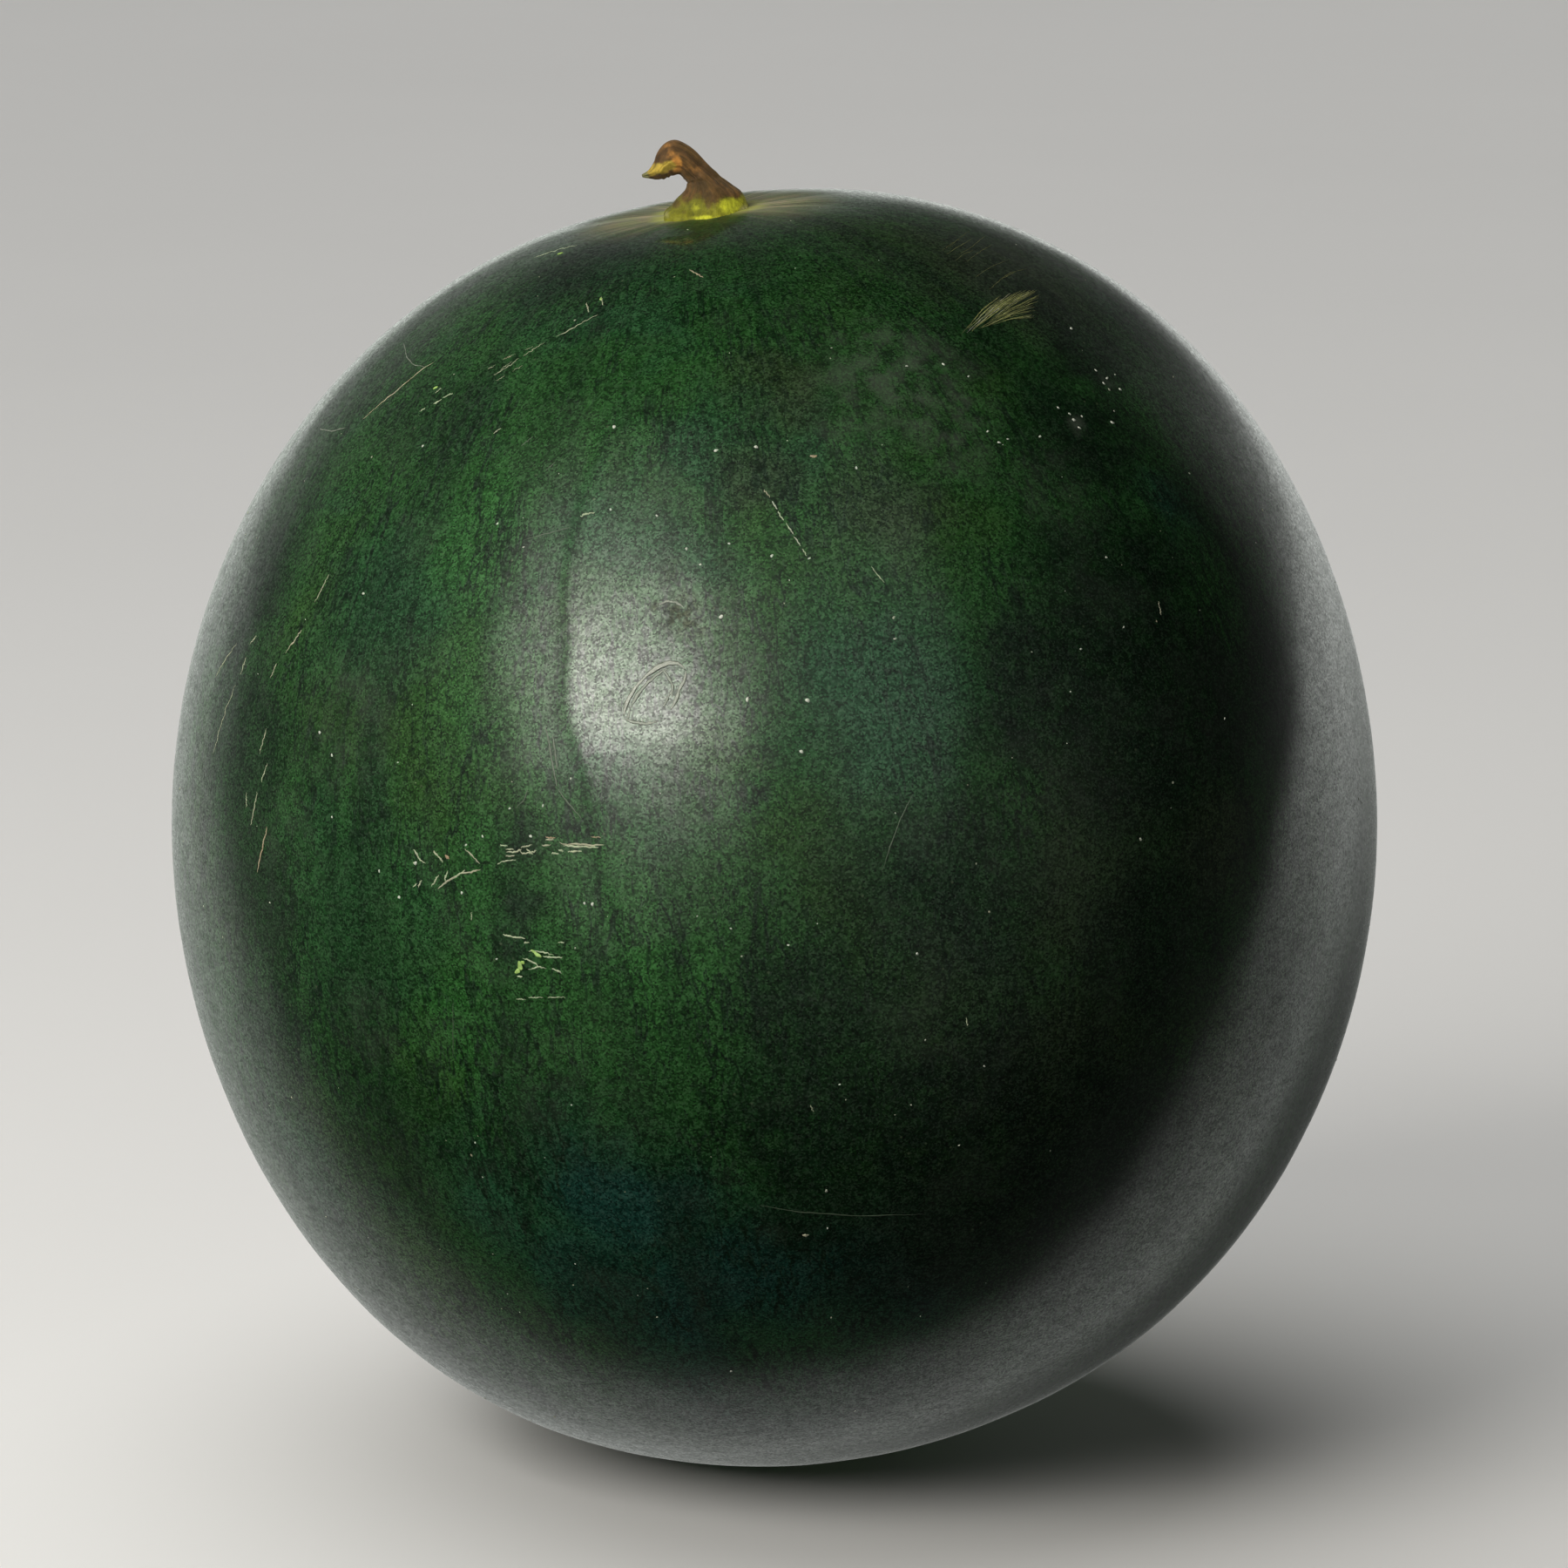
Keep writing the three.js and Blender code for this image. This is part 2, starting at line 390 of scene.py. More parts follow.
class Nodes:
    """A node tree that is put together step by step."""

    def __init__(self, owner):
        """Empties the owner's own node tree."""
        owner.use_nodes = True
        self.tree = owner.node_tree
        self.tree.nodes.clear()

    def feed(self, socket, value):
        """Links a socket to another, or sets its value."""
        if isinstance(value, bpy.types.NodeSocket):
            self.tree.links.new(value, socket)
        elif socket.type == "RGBA":
            socket.default_value = (*tuple(value)[:3], 1)
        else:
            socket.default_value = value

    def node(self, kind, inputs=None, output=0, **choices):
        """Adds a node, feeds its inputs and gives one of its outputs."""
        node = self.tree.nodes.new(kind)
        for name, value in choices.items():
            setattr(node, name, value)
        for key, value in (inputs or {}).items():
            self.feed(node.inputs[key], value)
        return None if output is None else node.outputs[output]

    def ramp(self, value, stops):
        """A value that follows straight lines between stops of (place, level), places from 0 to 1."""
        node = self.tree.nodes.new("ShaderNodeValToRGB")
        elements = node.color_ramp.elements
        while len(elements) < len(stops):
            elements.new(0.5)
        for element, (place, level) in zip(elements, stops):
            element.position = place
            element.color = (level, level, level, 1)
        self.feed(node.inputs[0], value)
        return node.outputs[0]

    def attribute(self, name, output="Fac"):
        """A value or vector that the piece's own vertices carry."""
        return self.node("ShaderNodeAttribute", output=output, attribute_name=name)

    def stretched(self, vector, scale, offset=(0, 0, 0)):
        """A vector times a scale on each axis, then moved by an offset."""
        return self.node("ShaderNodeMapping", {"Vector": vector, "Scale": scale, "Location": offset})

    def noise(self, vector, scale, detail=2.0, roughness=0.5, distortion=0.0):
        """A soft noise about 0.5. On a place, the scale is the number of its waves in a metre."""
        return self.node("ShaderNodeTexNoise", {
            "Vector": vector, "Scale": scale, "Detail": detail, "Roughness": roughness,
            "Distortion": distortion})

    def math(self, operation, *values, clamp=False):
        """One of the Math node's operations on the values."""
        return self.node("ShaderNodeMath", dict(enumerate(values)), operation=operation, use_clamp=clamp)

    def between(self, value, low, high, bottom=0.0, top=1.0):
        """Bottom below low and top above high, with a smooth change between them."""
        return self.node("ShaderNodeMapRange", {
            "Value": value, "From Min": low, "From Max": high, "To Min": bottom, "To Max": top,
        }, interpolation_type="SMOOTHSTEP")

    def line(self, value, low, high, bottom, top):
        """Bottom below low and top above high, with an even change between them."""
        return self.node("ShaderNodeMapRange", {
            "Value": value, "From Min": low, "From Max": high, "To Min": bottom, "To Max": top})

    def axis(self, vector, number):
        """A vector's share along one axis."""
        return self.node("ShaderNodeSeparateXYZ", {0: vector}, output=number)

    def product(self, *values):
        """All of the values multiplied."""
        total = values[0]
        for value in values[1:]:
            total = self.math("MULTIPLY", total, value)
        return total

    def shaded(self, colour, shade):
        """A colour times a brightness."""
        grey = self.node("ShaderNodeCombineXYZ", {0: shade, 1: shade, 2: shade})
        return self.mix(1.0, colour, grey, "MULTIPLY")

    def mix(self, share, first, second, blend="MIX"):
        """The first colour, with a share of the second over it."""
        node = self.tree.nodes.new("ShaderNodeMix")
        node.data_type = "RGBA"
        node.blend_type = blend
        for key, value in ((0, share), (6, first), (7, second)):
            self.feed(node.inputs[key], value)
        return node.outputs[2]

    def wander(self, sway, distance):
        """Sets how far, and by which noise colour, the places that near() measures from are moved."""
        moved = self.stretched(self.place, (1, 1, 1), (-distance / 2,) * 3)
        self.wandering = self.node("ShaderNodeVectorMath", {0: sway, 1: (distance,) * 3, 2: moved},
                                   operation="MULTIPLY_ADD")

    def near(self, point, inner, outer):
        """1 within inner of a point and 0 beyond outer, with a wandering edge."""
        gap = self.node("ShaderNodeVectorMath", {0: self.wandering, 1: tuple(point)}, output="Value",
                        operation="DISTANCE")
        return self.between(gap, inner, outer, 1.0, 0.0)

    def towards(self, way, aim):
        """The cosine of the angle between a direction and a fixed way."""
        return self.node("ShaderNodeVectorMath", {0: way, 1: tuple(unit(np.array(aim)))}, output="Value",
                         operation="DOT_PRODUCT")

    def bump(self, height, distance, normal=None):
        """A normal tilted by the slope of a height, which is a share of the distance, in metres."""
        inputs = {"Height": height, "Distance": distance, "Strength": 1.0}
        if normal is not None:
            inputs["Normal"] = normal
        return self.node("ShaderNodeBump", inputs)


class Finish(Nodes):
    """A material of one Principled shader."""

    def __init__(self, name):
        """Makes the material, with its shader linked to its surface."""
        self.material = bpy.data.materials.new(name)
        super().__init__(self.material)
        self.shader = self.tree.nodes.new("ShaderNodeBsdfPrincipled")
        output = self.tree.nodes.new("ShaderNodeOutputMaterial")
        self.tree.links.new(self.shader.outputs[0], output.inputs["Surface"])
        self.place = self.node("ShaderNodeTexCoord", output="Object")
        self.wandering = self.place

    def set(self, **sockets):
        """Sets or links the shader's own sockets, with spaces written as underscores."""
        for name, value in sockets.items():
            self.feed(self.shader.inputs[name.replace("_", " ")], value)
        return self.material


def veins(finish, course, pitch, width, detail=4.0):
    """Thin wandering lines: where a noise, stretched along the fruit, passes its middle value."""
    field = finish.noise(finish.stretched(course, pitch), 1.0, detail, 0.62, 0.25)
    gap = finish.math("ABSOLUTE", finish.math("SUBTRACT", field, 0.5))
    return finish.between(gap, 0.0, width, 1.0, 0.0)


MOTTLE_SCALE = 3300.0  # cells of the finest mottling in a metre
WANDER = 16 * MM  # how far the edges of the broad patches wander
BRUISE_WANDER = 5 * MM  # and those of bruises and hazes
GROUND_SPOT_AIM = (0.45, 0.80, -0.42)  # where the fruit lay on the ground, from its middle
GROUND_SPOT_RADII = (18 * MM, 60 * MM)
LIGHT_PATCH_GAIN = 1.5  # how much lighter the lighter patches are than the leaf green
# The skin's fixed colours, as linear shares of red, green and blue.
WARM_BROWN = (0.024, 0.027, 0.015)
BRUISE_BROWN = (0.034, 0.045, 0.020)
DUST = (0.15, 0.145, 0.14)
LENTICEL = (0.12, 0.16, 0.085)
STREAK_COLOURS = ((0.46, 0.46, 0.24), (0.54, 0.46, 0.28))
RING_COLOURS = ((0.56, 0.60, 0.13), (0.50, 0.46, 0.16))
SCAR_BROWN = (0.16, 0.11, 0.06)
GROUND_CREAM = (0.30, 0.28, 0.085)
# Waxy hazes on the skin, those on the left of the front also painted sheen: the place of each across and down
# the frame, in frame units, the radii within which it is full and beyond which it has gone, in millimetres,
# and its strength.
SHEEN_AND_BLOOM_HAZES = (
    (1030, 430, 4, 19, 0.85), (1080, 475, 3, 15, 0.75), (985, 470, 2, 15, 0.55), (1100, 520, 2, 10, 0.5),
    (1272, 436, 0.6, 3.4, 1.0), (1233, 484, 0.5, 3.0, 1.0), (1210, 560, 2, 14, 0.35),
    (640, 1235, 4, 22, 0.2), (1175, 300, 4, 20, 0.5), (1215, 930, 4, 22, 0.25), (1385, 810, 5, 18, 0.2),
    (430, 1330, 6, 22, 0.1), (290, 1020, 6, 20, 0.15), (395, 825, 5, 17, 0.32), (325, 955, 3, 12, 0.28),
    (420, 1175, 3, 11, 0.28),
)
# Bruises, in the same terms: the wax is worn off and the skin is brown.
BRUISES = (
    (786, 706, 1.4, 5.0, 1.0), (770, 700, 0.3, 3.0, 0.6), (752, 695, 0.2, 1.6, 0.9),
    (806, 722, 0.4, 2.6, 0.7), (768, 656, 0.5, 3.2, 0.55), (828, 640, 0.3, 2.2, 0.5),
    (706, 806, 0.5, 4.0, 0.3),
)
# Bluer patches, in the same terms.
COOL_PATCHES = (
    (720, 1370, 6, 26, 1.0), (1340, 590, 4, 14, 0.7), (1010, 800, 6, 24, 0.4), (440, 700, 4, 24, 0.3),
    (430, 1050, 6, 26, 0.3), (850, 1500, 10, 32, 1.0), (1000, 1480, 8, 26, 1.0), (690, 1460, 6, 24, 0.8),
    (570, 1390, 4, 18, 0.5), (900, 1590, 10, 34, 1.0),
)
# Lighter patches.
LIGHT_PATCHES = (
    (750, 1125, 5, 16, 0.9), (752, 1250, 7, 20, 0.75), (570, 1165, 7, 20, 0.7), (575, 800, 6, 20, 0.4),
    (570, 1010, 4, 14, 0.4), (390, 1000, 8, 26, 0.45), (1290, 600, 6, 15, 0.9), (1295, 1020, 6, 18, 0.7),
    (1385, 660, 5, 12, 0.7), (840, 1290, 5, 14, 0.8), (930, 1570, 8, 24, 0.6), (570, 620, 6, 16, 0.6),
    (710, 1030, 5, 16, 0.6), (1290, 480, 5, 14, 0.9),
)
# Browner patches.
WARM_PATCHES = (
    (1275, 940, 6, 20, 0.7), (1215, 1240, 8, 24, 0.8), (895, 440, 4, 13, 0.7), (890, 540, 3, 10, 0.6),
    (1010, 590, 3, 14, 0.7), (1150, 312, 8, 24, 0.9), (1110, 1150, 8, 20, 0.4), (1250, 1020, 7, 18, 0.8),
    (1390, 970, 5, 16, 0.9), (1090, 1400, 6, 22, 0.6),
)
# Nearly black patches: mostly painted shade over the right side, the lower right, the top and the far left,
# and partly darker blotches and stripes of the skin's own.
SHADE_AND_DARK_PATCHES = (
    (1195, 350, 3, 9, 0.7), (1250, 410, 5, 13, 0.85), (1290, 690, 9, 27, 1.0), (1210, 790, 8, 20, 1.0),
    (1300, 840, 10, 26, 0.95), (1240, 500, 6, 17, 0.9), (1080, 1020, 7, 24, 0.8), (1330, 1080, 8, 24, 0.9),
    (1020, 1170, 6, 20, 0.65), (935, 1160, 6, 20, 0.85), (1250, 1330, 12, 28, 0.9),
    (1110, 1320, 12, 34, 1.0), (1010, 1300, 6, 20, 0.8), (930, 1290, 8, 24, 0.9), (1200, 1420, 8, 24, 0.8),
    (1030, 1450, 6, 22, 0.8), (935, 1390, 6, 20, 0.9), (705, 1475, 4, 16, 0.4), (1385, 810, 8, 20, 1.0),
    (1120, 1385, 9, 22, 1.0), (1200, 1385, 6, 16, 1.0), (480, 1290, 5, 14, 0.5), (480, 480, 5, 14, 0.4),
    (665, 300, 5, 18, 0.9), (850, 300, 8, 30, 0.2), (1000, 300, 8, 24, 0.3), (1110, 1060, 8, 26, 0.6),
    (1025, 1210, 6, 18, 0.4), (660, 1290, 6, 18, 0.4), (1110, 395, 4, 12, 0.5), (1470, 800, 6, 20, 0.8),
    (595, 965, 2, 6, 0.9), (597, 1035, 2, 6, 0.9), (598, 1100, 1, 5, 0.6), (592, 1190, 1, 6, 0.5),
    (295, 670, 6, 18, 0.85), (285, 860, 6, 22, 0.7), (290, 1020, 6, 22, 0.75), (310, 1180, 5, 16, 0.6),
    (440, 1330, 4, 18, 0.4),
)


def patches(finish, spots, shape):
    """The largest of several round patches, each frayed by noise, as one mask."""
    spots = np.array(spots, float)
    centres = skin_point(way_in_view(spots[:, :2], shape), shape)
    total = None
    for centre, (inner, outer, strength) in zip(centres, spots[:, 2:].tolist()):
        mask = finish.product(finish.near(centre, inner * MM, outer * MM), strength)
        total = mask if total is None else finish.math("MAXIMUM", total, mask)
    return total


def skin_hue(f, colours, shape, fray):
    """Leaf green with broad patches, each laid over what lies below it, the darkest mostly painted shade, and
    how far the bruises cover it.
    """
    sway = f.node("ShaderNodeTexNoise", {"Vector": f.place, "Scale": 95.0, "Detail": 3.0}, output="Color")
    f.wander(sway, WANDER)
    broad = f.noise(f.place, 24, 3, 0.55, 0.4)
    other = f.noise(f.stretched(f.place, (1, 1, 1), (0.3, 0.1, 0.7)), 31, 3, 0.55, 0.5)
    colour = f.mix(f.between(broad, 0.50, 0.68, 0, 0.55), colours.leaf, colours.olive)
    cool = f.math("MAXIMUM", f.between(other, 0.53, 0.70, 0, 0.3), patches(f, COOL_PATCHES, shape))
    colour = f.mix(cool, colour, colours.pine)
    light = tuple(LIGHT_PATCH_GAIN * part for part in colours.leaf)
    colour = f.mix(patches(f, LIGHT_PATCHES, shape), colour, light)
    warm = f.product(patches(f, WARM_PATCHES, shape), 0.7)
    colour = f.mix(warm, colour, WARM_BROWN)
    # Mostly painted shade: the deep green laid over the right side, the lower right and the far left.
    dark = f.product(patches(f, SHADE_AND_DARK_PATCHES, shape), f.between(fray, 0.34, 0.60, 0.7, 1.0))
    colour = f.mix(dark, colour, colours.deep)
    f.wander(sway, BRUISE_WANDER)
    worn = f.between(f.noise(f.place, 800, 2, 0.6), 0.40, 0.56, 0.15, 1.0)
    bruise = f.product(patches(f, BRUISES, shape), worn)
    return f.mix(bruise, colour, BRUISE_BROWN), bruise


def skin_bands(f, colour, course, deep):
    """Darker bands and stripes from end to end, then broken veins and finer threads."""
    bands = f.noise(f.stretched(course, (3.2, 3.2, 0.45)), 1.6, 2, 0.5, 0.3)
    colour = f.mix(f.between(bands, 0.50, 0.66, 0, 0.45), colour, deep)
    stripes = f.noise(f.stretched(course, (9, 9, 0.7)), 1.0, 3, 0.55, 0.5)
    colour = f.mix(f.between(stripes, 0.52, 0.64, 0, 0.35), colour, deep)
    breaks = f.between(f.noise(f.place, 60, 3, 0.6), 0.36, 0.56)
    lines = veins(f, course, (9, 9, 2.6), 0.020)
    threads = veins(f, course, (24, 24, 9), 0.030, 3)
    dark = f.math("MAXIMUM", f.product(lines, breaks, 0.95), f.product(threads, breaks, 0.8))
    return f.mix(dark, colour, deep)


def skin_mottling(f, colour, mottle, grain):
    """The colour times a brightness of each cell and of the grain, then pale dust and tiny pale lenticels."""
    shade = f.product(f.line(mottle, 0, 1, 0.20, 1.95), f.between(grain, 0.34, 0.66, 0.75, 1.25))
    colour = f.mix(f.line(mottle, 0.55, 1, 0.0, 0.13), f.shaded(colour, shade), DUST)
    dots = f.node("ShaderNodeTexVoronoi", {"Vector": f.place, "Scale": 420.0}, output="Distance")
    thinned = f.between(f.noise(f.place, 95, 2), 0.52, 0.66)
    return f.mix(f.product(f.between(dots, 0.05, 0.13, 1.0, 0.0), thinned, 0.5), colour, LENTICEL)


def stem_surround(f, colour, course, from_stem, fray):
    """Round the stem, mostly behind and beside it, the green pales through tan streaks to a yellow ring.

    A streak's reach is the angle from the stem, moved by a noise that is stretched along the fruit.
    """
    streaks = f.noise(f.stretched(course, (13, 13, 3)), 1.0, 4, 0.65, 0.3)
    reach = f.math("ADD", from_stem, f.product(f.math("SUBTRACT", streaks, 0.5), 0.09))
    to_back = f.axis(course, 1)
    aside = f.between(to_back, -0.97, -0.40, 0.03, 1.0)
    pale = f.product(f.between(reach, 0.10, 0.24, 1.0, 0.0), f.between(streaks, 0.40, 0.62, 0.3, 1.0), aside)
    colour = f.mix(pale, colour, f.mix(f.between(fray, 0.42, 0.58), *STREAK_COLOURS))
    ring = f.product(f.between(reach, 0.066, 0.100, 1.0, 0.0), aside)
    return f.mix(ring, colour, f.mix(f.between(streaks, 0.42, 0.58), *RING_COLOURS)), reach, pale


def skin_below(f, colour, from_stem, fray, shape):
    """The blossom's end is corky, and the side that lay on the ground is creamy."""
    scar = f.between(f.math("ADD", from_stem, f.product(fray, 0.05)), 3.085, 3.125)
    colour = f.mix(scar, colour, SCAR_BROWN)
    ground = skin_point(unit(np.array(GROUND_SPOT_AIM)), shape)
    bed = f.near(ground, *GROUND_SPOT_RADII)
    bed = f.between(f.math("ADD", bed, f.product(fray, 0.30)), 0.55, 1.15)
    return f.mix(f.product(bed, 0.62), colour, GROUND_CREAM)


def skin_material(shape, colours):
    """Dark green rind: mottled and veined green with painted shade, waxy bloom partly painted sheen, and a
    thin, broken film of wax.
    """
    f = Finish("melon_skin")
    course = f.attribute("course", "Vector")
    from_stem = f.axis(course, 2)
    fray = f.noise(f.place, 260, 4, 0.6)
    grain = f.noise(f.place, 700, 3, 0.75)
    cells = f.node("ShaderNodeTexVoronoi", {"Vector": f.place, "Scale": MOTTLE_SCALE}, output="Color")
    mottle = f.axis(cells, 0)
    colour, bruise = skin_hue(f, colours, shape, fray)
    colour = skin_bands(f, colour, course, colours.deep)
    colour = skin_mottling(f, colour, mottle, grain)

    # The bloom is low all over, and thick in a few hazes; on the left of the front these are painted sheen as
    # well.
    haze_and_sheen = f.product(patches(f, SHEEN_AND_BLOOM_HAZES, shape), f.between(fray, 0.36, 0.66, 0.15, 1.0))
    bloom = f.math("MAXIMUM", haze_and_sheen, f.between(f.noise(f.place, 70, 3, 0.6, 0.6), 0.48, 0.74, 0, 0.16))
    colour = f.mix(f.product(bloom, 0.50), colour, colours.bloom)
    colour, reach, pale = stem_surround(f, colour, course, from_stem, fray)
    colour = skin_below(f, colour, from_stem, fray, shape)
    matt = f.product(f.math("ADD", bloom, pale), 0.22)
    rough = f.between(grain, 0.3, 0.7, colours.roughness - 0.05, colours.roughness + 0.07)

    # The film of wax is broken up as finely as the mottling, and nearly ends round the stem and on bruises.
    gaps = f.noise(f.stretched(course, (22, 22, 60)), 1.0, 4, 0.7, 0.6)
    film = f.product(f.line(mottle, 0, 1, 0.26, 0.92), f.between(gaps, 0.34, 0.62, 0.70, 1.0),
                     f.between(reach, 0.13, 0.25, 0.08, 1.0),
                     f.math("SUBTRACT", 1.0, f.product(bruise, 0.8)))
    uneven = f.noise(f.place, 150, 3, 0.5, 0.4)
    return f.set(
        Base_Color=colour, Roughness=f.math("ADD", matt, rough, clamp=True), IOR=1.44, Specular_IOR_Level=0.2,
        Normal=f.bump(uneven, 0.08 * MM, f.bump(grain, 0.03 * MM)), Coat_Weight=film, Coat_Roughness=0.09,
        Coat_IOR=1.55, Coat_Normal=f.bump(uneven, 0.01 * MM))


# ---- marks on the skin

STROKE_STATIONS = 26
STROKE_SIDES = 6
STROKE_NARROWING = 0.64  # a stroke's mean width, as a share of the width given for it
STROKE_SWELL = 0.45  # the power of the sine by which it swells in from its ends
STROKE_WAVER = 0.22
STROKE_SIZES = (0.45, 1.7)  # the least and the most that it wavers to
DAB_LOBES = ((2, 0.22), (3, 0.12))  # the waves round a dab's outline, and their shares of its radius
ANY_TURN = (0, 6)  # seeded turns lie between these, in radians
MARK_TONES = (0.2, 1.0)
SCRATCH_SEED = 21
SCRATCH_RISE = 0.22  # a scratch's height, as a share of its width
SCRATCH_HEIGHT = 0.09 * MM  # no scratch is higher
# The hidden scratches. Their lengths are angles seen from the fruit's middle, in radians.
HIDDEN_SCRATCHES = 150
HIDDEN_CLUSTERS = 9
HIDDEN_TRIES = 8  # seeded ways for each that is kept
HIDDEN_FROM_CAMERA = -0.12  # a hidden way's greatest share towards the camera
HIDDEN_LIMITS = (-0.93, 0.975)  # its least share upwards, and its greatest share towards the stem
CLUSTER_SPREAD = 0.09
LONE_SHARE = 0.35  # of them lie outside the clusters
TURN_SPREAD = 0.9
BEND_SPREAD = 0.25
HIDDEN_MEAN_LENGTH = 0.045  # beyond the least
HIDDEN_LENGTHS = (0.02, 0.22)
HIDDEN_WIDTHS = (0.22, 0.52)  # in millimetres
SCUFF_HEIGHT = 0.04 * MM
NICK_HEIGHT = 0.09 * MM
NICK_TONES = (0.4, 1.0)
HEALED_SEED = 41
HEALED_HEIGHT = 0.03 * MM
SPECK_SEED = 33
SPECK_SHRINK = 0.9  # a speck's radius, as a share of the radius given for it
SPECK_RISE = 0.30  # a speck's height, as a share of its radius
SPECK_LIMITS = (-0.95, 0.99)
SPECK_RADII = (0.6, 1.8)  # of the scattered specks, in frame units
SPECK_SPREAD = 0.4  # their mean radius beyond the least
SPECK_FLATTENING = (0.65, 1.0)  # a speck's shorter radius, as a share of the longer one
BRIGHT_TONE = 0.95  # of the specks that stand out
SCAR_SEED = 52
SCAR_CORK_RADIUS = 3.6 * MM
SCAR_CORK_HEIGHT = 0.38 * MM
# Cork colours for a high, a middling and a low tone, as linear shares of red, green and blue.
CORK = ((0.52, 0.60, 0.38), (0.47, 0.47, 0.32), (0.50, 0.36, 0.22))
BRUSHED_SKIN = ((0.46, 0.48, 0.17), (0.25, 0.27, 0.10), (0.11, 0.11, 0.055))
FRESH_CORK = ((0.50, 0.76, 0.24), (0.38, 0.60, 0.13), (0.30, 0.44, 0.10))
SPECK_CORK = ((0.80, 0.84, 0.70), (0.50, 0.54, 0.38), (0.36, 0.31, 0.19))
BLOSSOM_CORK = ((0.30, 0.24, 0.14), (0.20, 0.13, 0.07), (0.12, 0.07, 0.035))
CORK_WHITE = (0.85, 0.84, 0.74)  # above the highest tones
# Healed skin: its green, and the darker and paler grain of its ridge; the paler grain is also a painted
# highlight on the ridges that cross the window's highlight.
HEALED_GREEN = (0.055, 0.085, 0.045)
HEALED_GRAIN_AND_HIGHLIGHT = ((0.10, 0.12, 0.08), (0.56, 0.58, 0.48))

